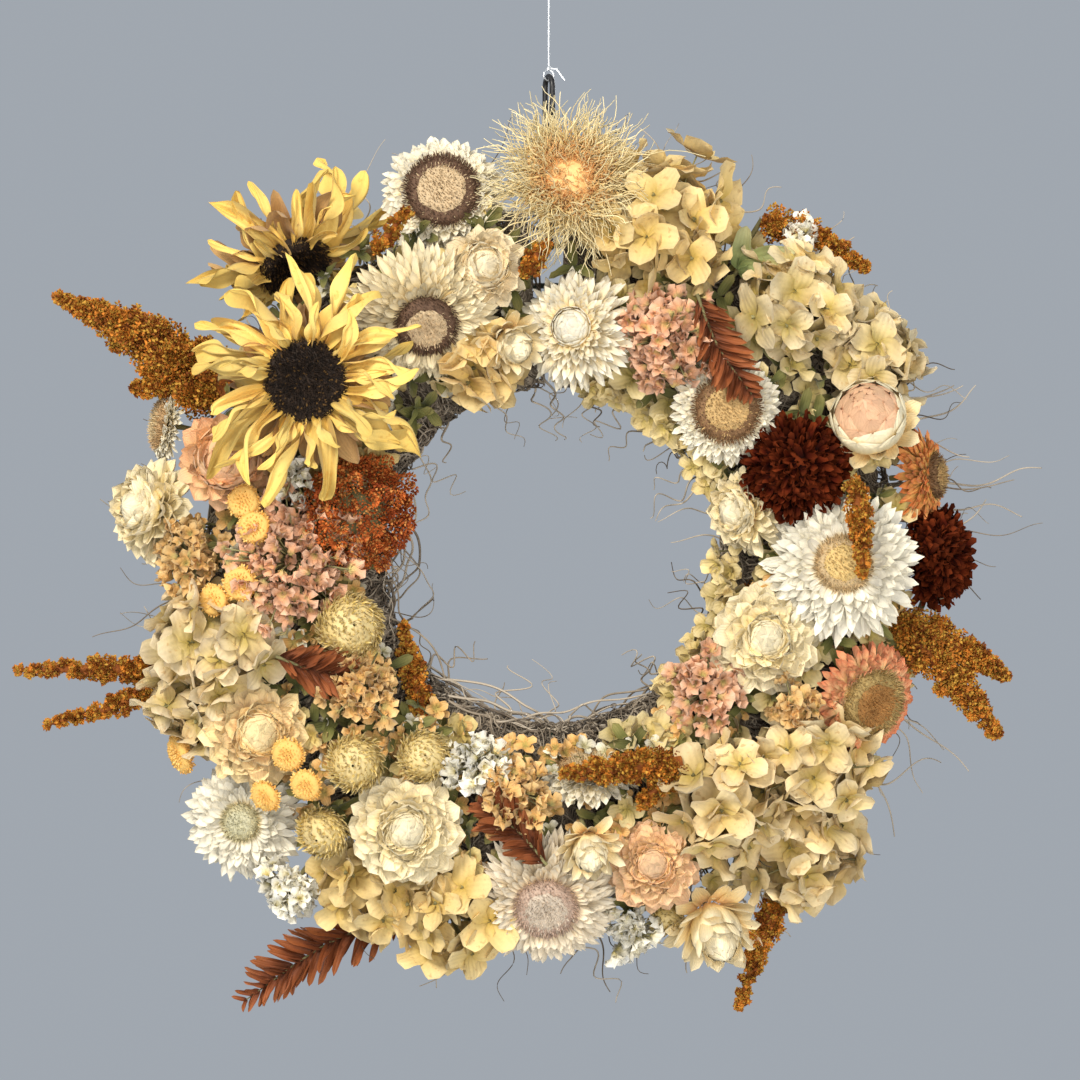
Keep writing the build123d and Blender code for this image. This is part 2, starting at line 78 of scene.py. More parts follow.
# petals that would stand further forward than this are eased back, within 8 mm in front of the CAD model
EASE_FROM, EASE_OVER = cad_box[0][1] + 0.001, 0.009
UP = np.array([0.0, 0.0, 1.0])


# ---- small vector helpers


def unit(v):
    v = np.asarray(v, float)
    return v / np.maximum(np.linalg.norm(v, axis=-1, keepdims=True), 1e-9)


def outward(clock):
    """Unit vectors from the ring's centre towards clock angles in degrees."""
    turn = np.radians(clock)
    return np.stack([np.sin(turn), np.zeros_like(turn), np.cos(turn)], -1)


def place(clock, reach, depth):
    """Points given as on a clock face: angle, reach from the ring's centre, depth in front of the rails."""
    clock, reach, depth = (np.asarray(value, float) for value in (clock, reach, depth))
    return CENTRE + outward(clock) * reach[..., None] + FRONT * depth[..., None]


def across_of(axis):
    """Two unit vectors square to each axis and to each other."""
    axis = unit(axis)
    guide = np.where(np.abs(axis[..., 2:3]) < 0.9, UP, np.array([1.0, 0.0, 0.0]))
    side = unit(np.cross(axis, guide))
    return side, np.cross(axis, side)


def between(low, high, count):
    return random.uniform(low, high, count)


def spokes(axis, azimuth):
    """Unit vectors square to each axis, at angles round it."""
    side, other = across_of(axis)
    return np.cos(azimuth)[..., None] * side + np.sin(azimuth)[..., None] * other


def evenly(count, first=0.0, loose=0.1):
    """Angles spread evenly round a turn, each a little out of place."""
    return np.linspace(0, TURN, count, endpoint=False) + first + between(-loose, loose, count)


def spiral(count):
    """Azimuths of a plant's spiral, in radians."""
    return np.arange(count) * math.pi * (3 - math.sqrt(5))


def packed_disc(axis, count):
    """Places on a disc, packed as a plant does: share of the radius, and the way out from the axis."""
    return np.sqrt((np.arange(count) + 0.5) / count), spokes(axis, spiral(count))


def smooth_path(points, count):
    """Points evenly spread on a smooth curve through the given ones."""
    points = np.asarray(points, float)
    if len(points) == 2:
        return points[0] + (points[1] - points[0]) * np.linspace(0, 1, count)[:, None]
    ends = np.vstack([2 * points[0] - points[1], points, 2 * points[-1] - points[-2]])
    at = np.linspace(0, len(points) - 1 - 1e-9, count)
    k = at.astype(int)
    u = (at - k)[:, None]
    a, b, c, d = (ends[k + shift] for shift in range(4))
    return 0.5 * (2 * b + (c - a) * u + (2 * a - 5 * b + 4 * c - d) * u**2 + (3 * b - a - 3 * c + d) * u**3)


# ---- heaps of small surfaces


class Heap:
    """Many small surfaces that become one mesh. Each point also has three numbers for its material:
    along (0 at a petal's base, 1 at its tip), across (-1 to 1) and tone (one random value a petal)."""

    def __init__(self):
        self.points, self.faces, self.numbers, self.slots = [], [], [], []
        self.count = 0

    def add(self, grids, along, across, tone, slot=0, closed=False):
        """grids is (pieces, rows, columns, 3). closed joins the last column to the first."""
        pieces, rows, columns = grids.shape[:3]
        index = np.arange(pieces * rows * columns).reshape(pieces, rows, columns)
        right = np.roll(index, -1, axis=2)
        wide = slice(None) if closed else slice(None, -1)
        low, high = slice(None, -1), slice(1, None)
        corners = [index[:, low, wide], right[:, low, wide], right[:, high, wide], index[:, high, wide]]
        faces = np.stack(corners, -1).reshape(-1, 4)
        numbers = np.stack([np.broadcast_to(value, index.shape) for value in (along, across, tone)], -1)
        self.points.append(grids.reshape(-1, 3))
        self.faces.append(faces + self.count)
        self.numbers.append(numbers.reshape(-1, 3))
        self.slots.append(np.full(len(faces), slot))
        self.count += pieces * rows * columns

    def make(self, name, materials, slot, body=WREATH, replaced=()):
        mesh = bpy.data.meshes.new(name)
        points = np.concatenate(self.points) * MM
        past = np.maximum(EASE_FROM - points[:, 1], 0) / EASE_OVER
        points[:, 1] = np.maximum(points[:, 1], EASE_FROM) - EASE_OVER * np.tanh(past)
        faces = np.concatenate(self.faces)
        mesh.vertices.add(len(points))
        mesh.vertices.foreach_set("co", points.ravel())
        mesh.loops.add(faces.size)
        mesh.loops.foreach_set("vertex_index", faces.ravel().astype(np.int32))
        mesh.polygons.add(len(faces))
        mesh.polygons.foreach_set("loop_start", np.arange(0, faces.size, 4, dtype=np.int32))
        mesh.update(calc_edges=True)
        for key, values in zip(("along", "across", "tone"), np.concatenate(self.numbers).T):
            mesh.attributes.new(key, "FLOAT", "POINT").data.foreach_set("value", values.astype(np.float32))
        for material in materials:
            mesh.materials.append(material)
        mesh.polygons.foreach_set("material_index", np.concatenate(self.slots).astype(np.int32))
        mesh.shade_smooth()
        piece = bpy.data.objects.new(name, mesh)
        bpy.context.scene.collection.objects.link(piece)
        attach(piece, body)
        if replaced:
            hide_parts(*replaced)
        return piece


def leaves(
    heap, root, out, up, length, width, lift=0.0, curl=0.0, cup=0.0, twist=0.0, wave=0.0, swing=0.0,
    crease=0.0, pleat=0.0, belly=0.5, point=0.5, neck=0.25, rows=6, columns=4, tone=None, slot=0,
):
    """Adds petals, bracts, sepals or seeds. Each grows from root towards out, with its face towards up.
    lift raises it from out towards up and curl bends it further by its tip, in degrees. cup raises its
    edges, twist turns it about its length, wave ripples its edges, crease crumples it, pleat folds it along
    its length and swing bends it sideways. belly is where it is widest, point how sharp its tip is and
    neck how wide its base is."""
    root = np.atleast_2d(root)
    number = len(root)
    root, out, up = (np.broadcast_to(value, (number, 3)) for value in (root, out, up))
    out = unit(out)
    up = unit(up - out * np.sum(out * up, -1, keepdims=True))
    side = np.cross(out, up)
    values = (length, width, np.radians(lift), np.radians(curl), cup, np.radians(twist), wave, swing)
    length, width, lift, curl, cup, twist, wave, swing = (
        np.broadcast_to(np.asarray(value, float), number)[:, None] for value in values
    )
    s = np.linspace(0, 1, rows + 1)[None, :]
    t = np.linspace(-1, 1, columns + 1)[None, None, :]
    angle = lift + curl * s**1.5
    step = length / rows
    middle = (angle[:, 1:] + angle[:, :-1]) / 2
    start = np.zeros((number, 1))
    ahead = np.hstack([start, np.cumsum(np.cos(middle) * step, 1)])
    rise = np.hstack([start, np.cumsum(np.sin(middle) * step, 1)])
    peak = belly**belly * (1 - belly) ** (1 - belly)
    outline = (s**belly * (1 - s) ** (1 - belly) / peak) ** point
    outline = np.maximum(outline, np.where(s < belly, neck, 0.05))
    half = (width / 2 * outline)[:, :, None]
    ripple = wave * np.sin(s * 9 + random.uniform(0, PHASE, (number, 1)))
    bow = cup[:, :, None] * (t**2 - 0.4) * half + ripple[:, :, None] * half * t * np.abs(t)
    shift = random.uniform(0, PHASE, (2, number, 1, 1))
    bow = bow + crease * half * np.sin(2.7 * t + shift[0]) * np.sin(8 * s[:, :, None] + shift[1])
    bow = bow + pleat * half * np.sin(7.5 * t + shift[0])
    turn = (twist * s)[:, :, None]
    wide = t * half
    x = wide * np.cos(turn) - bow * np.sin(turn) + (swing * length * s**2)[:, :, None]
    lifted = wide * np.sin(turn) + bow * np.cos(turn)
    forward = ahead[:, :, None] - lifted * np.sin(angle)[:, :, None]
    upward = rise[:, :, None] + lifted * np.cos(angle)[:, :, None]
    grids = root[:, None, None] + (
        x[..., None] * side[:, None, None]
        + forward[..., None] * out[:, None, None]
        + upward[..., None] * up[:, None, None]
    )
    tone = between(0, 1, number) if tone is None else np.broadcast_to(tone, number)
    heap.add(grids, s[:, :, None], t, tone[:, None, None], slot)


def tubes(heap, paths, radius, sides=6, tone=None, slot=0):
    """Adds round strands. paths is (strands, points, 3); radius is one value or (strands, points)."""
    paths = np.asarray(paths, float)
    if paths.ndim == 2:
        paths = paths[None]
    along = unit(np.gradient(paths, axis=1))
    guide = unit(random.normal(size=(len(paths), 1, 3)))
    first = unit(np.cross(along, guide))
    second = np.cross(along, first)
    radius = np.broadcast_to(radius, paths.shape[:2])[:, :, None, None]
    turn = np.linspace(0, TURN, sides, endpoint=False)[None, None, :, None]
    ring = first[:, :, None] * np.cos(turn) + second[:, :, None] * np.sin(turn)
    tone = between(0, 1, len(paths)) if tone is None else np.broadcast_to(tone, len(paths))
    s = np.linspace(0, 1, paths.shape[1])[None, :, None]
    across = np.linspace(-1, 1, sides)[None, None, :]
    heap.add(paths[:, :, None] + ring * radius, s, across, tone[:, None, None], slot, closed=True)


def turned(heap, base, axis, radius, radii, height, heights, sides=24, bumps=0.03, slot=0):
    """Adds a surface turned about an axis through base, with small bumps. Its outline is radii and heights,
    as shares of radius and height."""
    ring = spokes(axis, np.linspace(0, TURN, sides, endpoint=False))
    radii, heights = radius * np.asarray(radii, float), height * np.asarray(heights, float)
    rough = 1 + bumps * random.normal(size=(len(radii), sides, 1))
    grid = base + ring[None] * radii[:, None, None] * rough + unit(axis) * heights[:, None, None]
    s = np.linspace(0, 1, len(radii))[None, :, None]
    heap.add(grid[None], s, np.linspace(-1, 1, sides)[None, None, :], 0.5, slot, closed=True)


# ---- materials


class Nodes:
    """A material's node tree, with short ways to add what these materials need."""

    def __init__(self, name, roughness=0.6, **sockets):
        self.material = bpy.data.materials.new(name)
        self.material.use_nodes = True
        self.tree = self.material.node_tree
        self.shader = self.tree.nodes["Principled BSDF"]
        self.feed(self.shader, Roughness=roughness, **sockets)

    def feed(self, node, **values):
        """Sets a node's sockets to numbers or colours, or links them."""
        for key, value in values.items():
            socket = node.inputs[key.replace("_", " ")]
            if isinstance(value, (int, float)):
                socket.default_value = value
            elif isinstance(value, tuple):
                socket.default_value = (*value, 1)
            else:
                self.tree.links.new(value, socket)

    def node(self, kind, settings=None, **values):
        made = self.tree.nodes.new("ShaderNode" + kind)
        for key, value in (settings or {}).items():
            setattr(made, key, value)
        self.feed(made, **values)
        return made

    def number(self, name):
        return self.node("Attribute", {"attribute_name": name}).outputs["Fac"]

    def noise(self, scale, detail=3.0, roughness=0.6):
        where = self.node("TexCoord").outputs["Object"]
        made = self.node("TexNoise", Vector=where, Scale=scale, Detail=detail, Roughness=roughness)
        return made.outputs["Fac"]

    def maths(self, operation, *values):
        made = self.node("Math", {"operation": operation})
        for socket, value in zip(made.inputs, values):
            if isinstance(value, (int, float)):
                socket.default_value = value
            else:
                self.tree.links.new(value, socket)
        return made.outputs[0]

    def times(self, a, b):
        return self.maths("MULTIPLY", a, b)

    def plus(self, a, b):
        return self.maths("ADD", a, b)

    def span(self, value, low, high):
        """value from 0..1 moved to low..high."""
        return self.maths("MULTIPLY_ADD", value, high - low, low)

    def ramp(self, value, *stops):
        """Colours along value: each stop is (position, colour)."""
        made = self.node("ValToRGB", Fac=value)
        elements = made.color_ramp.elements
        while len(elements) < len(stops):
            elements.new(0.5)
        for element, (position, colour) in zip(elements, stops):
            element.position = position
            element.color = (*colour, 1)
        return made.outputs["Color"]

    def mix(self, factor, a, b):
        return self.node("Mix", {"data_type": "RGBA"}, Factor=factor, A=a, B=b).outputs[2]

    def brightness(self, colour, value):
        return self.node("HueSaturation", Color=colour, Value=value).outputs["Color"]

    def finish(self, colour, rough=None, height=None, depth=0.0, strength=1.0):
        """Colour, roughness as (value, low, high), and bump of a depth in millimetres."""
        self.feed(self.shader, Base_Color=colour)
        if rough:
            self.feed(self.shader, Roughness=self.span(*rough))
        if height:
            made = self.node("Bump", Height=height, Strength=strength, Distance=depth * MM)
            self.feed(self.shader, Normal=made.outputs["Normal"])
        return self.material


def petal_material(
    name, base, middle, tip, rough=(0.42, 0.7), ribs=26, spread=0.22, spots=None, sheen=0.15, gloss=0.35,
):
    """Papery petals: colour from base to tip, a shade of its own for each, ribs along it, and age spots."""
    m = Nodes(name, Sheen_Weight=sheen, Specular_IOR_Level=gloss)
    along, across, tone = m.number("along"), m.number("across"), m.number("tone")
    shifted = m.plus(along, m.span(m.noise(260, 4), -0.14, 0.14))
    colour = m.ramp(shifted, (0.05, base), (0.45, middle), (0.95, tip))
    ribbing = m.maths("SINE", m.times(across, ribs))
    fibres = m.noise(900, 3, 0.7)
    shade = m.plus(m.span(tone, 1 - spread, 1 + spread * 0.45), m.span(fibres, -0.12, 0.12))
    colour = m.brightness(colour, m.plus(shade, m.times(ribbing, 0.025)))
    if spots:
        patches = m.ramp(m.noise(420, 2, 0.5), (0.62, (0, 0, 0)), (0.72, (1, 1, 1)))
        colour = m.mix(m.times(patches, 0.55), colour, spots)
    return m.finish(colour, (fibres, *rough), m.plus(m.times(ribbing, 0.35), fibres), 0.16, 0.8)


def grain_material(name, dark, light, accent=None, scale=700, share=0.62):
    """Seeds, moss, stems and bark: two tones by noise and by tone, with an accent here and there."""
    m = Nodes(name, Specular_IOR_Level=0.3)
    grain, tone = m.noise(scale, 4, 0.65), m.number("tone")
    colour = m.ramp(m.plus(m.times(grain, 0.65), m.times(tone, 0.5)), (0.3, dark), (0.8, light))
    if accent:
        chosen = m.maths("GREATER_THAN", m.maths("FRACT", m.times(tone, 7.31)), share)
        colour = m.mix(m.times(chosen, 0.75), colour, accent)
    return m.finish(colour, (grain, 0.6, 0.9), grain, 0.25, 0.9)


def wire_material(name, dark, light, rough):
    """Plastic-coated or painted wire with faint scuffs and a little dust."""
    m = Nodes(name, Specular_IOR_Level=0.5)
    scuff = m.noise(500, 5, 0.7)
    return m.finish(m.ramp(scuff, (0.45, dark), (0.8, light)), (m.noise(220, 3), *rough), scuff, 0.05, 0.5)


def clear_material():
    """Clear nylon line, faintly clouded by handling."""
    m = Nodes("clear_nylon", 0.12, Transmission_Weight=0.8, IOR=1.53)
    haze = m.noise(800, 3)
    return m.finish(m.ramp(haze, (0.3, (0.80, 0.83, 0.86)), (0.7, (0.93, 0.95, 0.97))), (haze, 0.08, 0.22))


STEM = grain_material("stem_green", (0.10, 0.09, 0.035), (0.30, 0.27, 0.12), scale=400)


# ---- what the frame says about each head


def solids(node):
    """(corners, face centres, face normals, face areas) of each solid of a CAD node, in millimetres."""
    mesh = frame["nodes"][node].data
    mesh.calc_loop_triangles()
    corners = np.array([corner.co for corner in mesh.vertices], np.float32).astype(float) / MM
    triangles = np.array([triangle.vertices for triangle in mesh.loop_triangles])
    _, same = np.unique(np.round(corners, 4), axis=0, return_inverse=True)
    joined = same.ravel()[triangles]
    labels = np.arange(joined.max() + 1)
    while True:
        lowest = labels.copy()
        np.minimum.at(lowest, joined.ravel(), np.repeat(labels[joined].min(1), 3))
        lowest = lowest[lowest]
        if np.array_equal(lowest, labels):
            break
        labels = lowest
    label = labels[joined[:, 0]]
    a, b, c = (corners[triangles[:, k]] for k in range(3))
    normals = np.cross(b - a, c - a)
    areas = np.linalg.norm(normals, axis=1) / 2
    for value in np.unique(label):
        chosen = (label == value) & (areas > 1e-9)
        centres = ((a + b + c) / 3)[chosen]
        yield corners[np.unique(triangles[chosen])], centres, unit(normals[chosen]), areas[chosen]


def heads(node):
    """For each solid of a node that is turned about an axis: its top, its axis, its radius and its height.
    Every normal of a turned surface meets its axis, so the axis is the line nearest to them all."""
    found = []
    for corners, centres, normals, areas in solids(node):
        middle = corners.mean(0)
        weight = np.sqrt(areas)[:, None]
        lines = np.hstack([np.cross((centres - middle) / 10, normals), normals]) * weight
        direction, moment = np.split(np.linalg.svd(lines, full_matrices=False)[2][-1], 2)
        size = np.linalg.norm(direction)
        direction, moment = direction / size, moment / size
        on_axis = middle + np.cross(direction, moment) * 10
        height = (corners - on_axis) @ direction
        reach = np.linalg.norm(corners - on_axis - height[:, None] * direction, axis=1)
        far = reach > 0.6 * reach.max()
        if height[far].mean() < (height.min() + height.max()) / 2:
            direction, height = -direction, -height
        found.append((on_axis + direction * height.max(), direction, reach.max(), np.ptp(height)))
    return found


def stem(heap, base, axis, length, slot=1, radius=1.1):
    """A slightly bent stem from a head's base back into the moss."""
    s = np.linspace(0, 1, 8)[:, None]
    path = base - unit(axis) * s * length + across_of(axis)[0] * np.sin(s * math.pi) * 0.05 * length
    tubes(heap, path, radius * (1 + 0.15 * np.sin(s[:, 0] * 9)), 8, slot=slot)


def stalks(heap, roots, spots, shares, radius=0.4):
    """Thin straight stalks from roots to spots, with points at the given shares of the way."""
    tubes(heap, np.stack([roots + (spots - roots) * s for s in shares], 1), radius, 4, slot=1)


# ---- camera, light and line


def camera_and_light():
    lens, width_seen, middle = 135.0, 0.432, Vector((-0.0036, -0.04, -0.1888))
    camera = bpy.data.cameras.new("camera")
    camera.lens = lens
    eye = bpy.data.objects.new("camera", camera)
    eye.location = middle - Vector((0, width_seen * lens / camera.sensor_width, 0))
    eye.rotation_euler = (math.radians(90), 0, 0)
    bpy.context.scene.collection.objects.link(eye)
    bpy.context.scene.camera = eye

    bpy.context.scene.view_settings.view_transform = "Standard"
    world = bpy.data.worlds.new("studio")
    world.use_nodes = True
    sky = world.node_tree.nodes["Background"]
    sky.inputs["Color"].default_value = (0.355, 0.388, 0.43, 1)
    sky.inputs["Strength"].default_value = 1.0
    bpy.context.scene.world = world

    for name, place_at, size, power, colour in (
        ("key", (-0.9, -1.7, 0.9), 0.7, 43, (1.0, 0.95, 0.86)),
        ("fill", (0.5, -2.2, -0.3), 1.5, 30, (1.0, 0.95, 0.88)),
        ("rear", (0.5, 1.8, 0.7), 1.2, 22, (1.0, 0.98, 0.96)),
    ):
        light = bpy.data.lights.new(name, "AREA")
        light.size, light.energy, light.color = size, power, colour
        lamp = bpy.data.objects.new(name, light)
        lamp.location = place_at
        aim = Vector((0, 0, -0.195)) - Vector(place_at)
        lamp.rotation_euler = aim.to_track_quat("-Z", "Y").to_euler()
        bpy.context.scene.collection.objects.link(lamp)

    half, depth = 3.0, -1.3
    corners = [(x * half, y * half, depth) for x, y in ((-1, -1), (1, -1), (1, 1), (-1, 1))]
    mesh = bpy.data.meshes.new("floor")
    mesh.from_pydata(corners, [], [(0, 1, 2, 3)])
    floor = bpy.data.objects.new("floor", mesh)
    pale = Nodes("pale_floor", 0.8)
    mesh.materials.append(
        pale.finish(pale.ramp(pale.noise(3, 2), (0.3, (0.55, 0.57, 0.60)), (0.7, (0.58, 0.60, 0.63))))
    )
    bpy.context.scene.collection.objects.link(floor)


def hanging_line(clear):
    """The taut clear line from its knot at the loop to its eye, just above the view."""
    low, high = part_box("hanging_line")
    middle = (low + high) / 2
    span = high.z - low.z
    curve = bpy.data.curves.new("clear_line", "CURVE")
    curve.dimensions = "3D"
    spline = curve.splines.new("NURBS")
    heights = [0, 0.12, 0.5, 0.88, 1]
    spline.points.add(len(heights) - 1)
    for point, share in zip(spline.points, heights):
        point.co = (middle.x, middle.y, low.z + span * share, 1)
    spline.order_u = 3
    spline.use_endpoint_u = True
    curve.bevel_depth = (high.x - low.x) / 2
    curve.bevel_resolution = 4
    curve.use_fill_caps = True
    curve.materials.append(clear)
    line = bpy.data.objects.new("clear_line", curve)
    bpy.context.scene.collection.objects.link(line)
    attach(line, LINE)
    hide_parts("hanging_line")


def hanging_loop(wire):
    """Coated wire: one eye above, two strands wound round each other, one grip round the outer rail."""
    top_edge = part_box("hanging_loop")[1].z / MM
    eye_turn, turns, clearance = math.radians(20), 5.5, 0.4
    across = np.array([-math.sin(eye_turn), math.cos(eye_turn), 0.0])
    rail = np.array([0.0, 0.0, CENTRE[2] + math.sqrt(RAIL_RADIUS**2 - CENTRE[0] ** 2)])
    grip = WIRE + WIRE + clearance
    eye_half = 3.0 + WIRE
    crown = top_edge - WIRE - eye_half
    neck_top = crown - 10.0 - 5.2
    neck_end = rail[2] + grip + 2.4
    paths = []
    for sign in (1, -1):
        arch = np.linspace(math.pi / 2, 0, 9)[:, None]
        top = UP * crown + sign * across * np.cos(arch) * eye_half + UP * np.sin(arch) * eye_half
        side = UP * (crown - np.linspace(1, 9, 6)[:, None]) + sign * across * eye_half
        turn = np.linspace(0, 1, 90)[:, None]
        angle = eye_turn + math.pi / 2 + turn * 2 * math.pi * turns
        height = neck_top + (neck_end - neck_top) * turn
        width = WIRE * (0.86 + 0.14 * np.cos(turn * 40))
        twist = np.hstack([np.cos(angle) * width, np.sin(angle) * width, height]) * [sign, sign, 1]
        angle = math.pi / 2 - 0.55 + (math.pi + 0.55) * np.linspace(0, 1, 16)[:12, None]
        ring = rail + grip * (np.cos(angle) * [0, sign, 0] + np.sin(angle) * UP) + [sign * 0.9, 0, 0]
        paths.append(smooth_path(np.vstack([top, side, twist[3:], ring]), 260))
    heap = Heap()
    tubes(heap, np.array(paths), WIRE * 0.98, 14)
    heap.make("wire_loop", [wire], "loop_wire", HANGER, ["hanging_loop"])


# ---- moss, vines and wire form


def on_moss(clock, turn, above):
    """Points over the moss: clock angle, turn round the core in radians (0 outside, pi/2 in front)."""
    reach = CORE_RADIUS + (MOSS_HALF_WIDTH + above) * np.cos(turn)
    depth = MOSS_DEPTH + (MOSS_HALF_DEPTH + above) * np.sin(turn)
    return place(clock, reach, depth)


def moss():
    """A lumpy core of moss, with painted shade in its hollows, and fine strands that wander over it."""
    bark = grain_material(
        "moss_strands", (0.050, 0.038, 0.028), (0.25, 0.20, 0.145), (0.44, 0.37, 0.28), 500, share=0.65
    )
    core = Heap()
    clock = np.linspace(2.2, 355.8, 420)
    turn = np.linspace(0, TURN, 46, endpoint=False)
    rough = random.normal(0, 1, (len(clock), len(turn)))
    for _ in range(2):
        rough = (rough + np.roll(rough, 1, 0) + np.roll(rough, 1, 1) + np.roll(rough, -1, 0)) / 2.2
    lump = np.sin(np.radians(clock) * 12)[:, None] ** 2 * 2.0
    above = np.minimum(rough * 1.3 - 4.5 + lump, -0.4)
    grid = on_moss(clock[:, None] + 0 * turn, turn[None] + 0 * clock[:, None], above)
    # the tone follows the lumps: the hollows of the core take the darker colour, painted shade
    core.add(grid[None], 0.5, 0.0, rough[None] * 0.3 + 0.3, closed=True)
    core.make("moss_core", [bark], "moss", replaced=["moss_bundles"])

    s = np.linspace(0, 1, 15)[None]
    for batch in range(4):
        heap = Heap()

        def drawn(low, high):
            return between(low, high, 1500)[:, None]

        start, drift, wind, rolling = drawn(4, 356), drawn(-9, 9), drawn(0, TURN), drawn(-1.2, 1.2)
        curl, phase = drawn(0.5, 4.0), drawn(0, PHASE)
        loops = drawn(0.7, 2.2) * 2 * math.pi
        clock = start + drift * s + np.degrees(curl / CORE_RADIUS) * np.sin(s * loops + phase)
        turn = wind + rolling * s + curl / 30 * np.cos(s * loops + phase)
        above = -1.5 + 1.6 * np.sin(s * math.pi) * drawn(0, 1.3) + 0.5 * np.sin(s * loops)
        paths = on_moss(np.clip(clock, 2.5, 357.5), turn, above)
        tubes(heap, paths, drawn(0.22, 0.62) * (1 - 0.5 * s), 4)
        heap.make(f"moss_strands_{batch}", [bark], "moss")


STRAND_POINTS, INNER_POINTS = 44, 60
# clock angle where a group of strands starts, clock angle, reach and depth where it ends
TENDRIL_ROOTS = (
    (77, 81, 205, 6), (74, 70, 190, 8), (80, 88, 208, 3), (72, 76, 176, 8), (86, 92, 200, 5), (96, 84, 184, 6),
    (113, 124, 194, 6), (109, 117, 182, 4), (236, 226, 190, 6), (222, 203, 182, 4), (229, 218, 186, 5),
    (213, 207, 184, 4), (190, 188, 188, 4), (172, 174, 176, 2), (181, 178, 182, 3), (263, 265, 192, 8),
    (268, 276, 188, 5), (318, 330, 186, 5), (325, 320, 184, 6), (305, 312, 186, 4), (10, 13, 176, 3),
    (24, 30, 182, 4), (40, 46, 184, 5), (60, 63, 184, 5), (150, 146, 190, 5), (160, 163, 184, 4),
)
# clock angles where a group that bows into the opening starts and ends, and how near the centre it comes
INNER_ROOTS = (
    (286, 244, 50), (300, 262, 54), (222, 176, 60), (236, 190, 56), (212, 168, 64), (262, 226, 60),
    (198, 160, 62), (150, 186, 62), (140, 172, 66), (330, 306, 68), (276, 250, 62), (168, 140, 66),
)


def curly(start, end, loops, size, count=STRAND_POINTS):
    """A stray strand from start to end that bends and curls on its way."""
    s = np.linspace(0, 1, count)[:, None]
    side, other = across_of(unit(end - start))
    phase, lean = random.uniform(0, PHASE), random.normal(0, 0.16, 2) * np.linalg.norm(end - start)
    path = start + (end - start) * s + (side * lean[0] + other * lean[1] * 0.5) * np.sin(s * math.pi * 0.9)
    grow = np.clip(s * 1.6, 0, 1) * size
    turn = (s**1.5) * loops * PHASE + phase
    return path + grow * (side * np.sin(turn) + 0.5 * other * np.cos(turn * 0.9) - side * math.sin(phase))


def tendrils():
    """Stray vine strands: groups round the outside, groups across the opening's edge, and single ones."""
    vine = grain_material("vine", (0.12, 0.092, 0.068), (0.40, 0.33, 0.245), (0.60, 0.52, 0.41), 350, 0.45)
    heap = Heap()
    draw = random.uniform
    for clock, end, reach, depth in TENDRIL_ROOTS:
        for k in range(3):
            start = place(clock + draw(-5, 5), 128, depth + draw(-6, 12))
            stop = place(end + draw(-7, 7), reach - k * 12 - draw(0, 8), depth + 4)
            path = curly(start, stop, draw(0.8, 2.6), draw(2, 6.5))
            tubes(heap, path, np.linspace(0.8, 0.25, STRAND_POINTS) * draw(0.5, 1.0), 5)
    fade = np.sin(np.linspace(0, 1, INNER_POINTS) * math.pi)[:, None]
    for clock, end, reach in INNER_ROOTS:
        for k in range(8):
            first, last = clock + draw(-16, 16), end + draw(-16, 16)
            start = place(first, 76, 12 + draw(-6, 18))
            stop = place(last, 74, 12 + draw(-6, 18))
            near = reach + (72 - reach) * draw(0, 1.1)
            middle = place((first + last) / 2 + draw(-6, 6), near, 12 + draw(-8, 16))
            base = smooth_path([start, middle, stop], INNER_POINTS)
            wiggle = curly(np.zeros(3), unit(stop - start), draw(1, 4), draw(1.0, 4.5), INNER_POINTS)
            tubes(heap, base + (wiggle - wiggle[:1]) * fade, draw(0.2, 0.6), 4)
    for clock in between(4, 356, 170):
        edge, way, furthest = (140, 1, 42) if random.random() < 0.78 else (72, -1, 30)
        start = place(clock, edge - 8 * way, draw(6, 24))
        reach = edge + way * draw(12, furthest)
        stop = place(clock + draw(-18, 18), reach, draw(8, 26))
        path = curly(start, stop, draw(0.8, 3.4), draw(3, 7.5))
        tubes(heap, path, np.linspace(0.7, 0.22, STRAND_POINTS) * draw(0.5, 1.1), 5)
    heap.make("vine_tendrils", [vine], "vine", replaced=["moss_tendrils"])


# ---- strawflowers

WHITE, IVORY, CREAM = (0.96, 0.90, 0.74), (0.96, 0.84, 0.57), (0.95, 0.76, 0.40)
PEACH, APRICOT = (0.94, 0.70, 0.42), (0.93, 0.63, 0.30)
PALE_YELLOW, YELLOW = (0.95, 0.82, 0.49), (0.95, 0.68, 0.22)
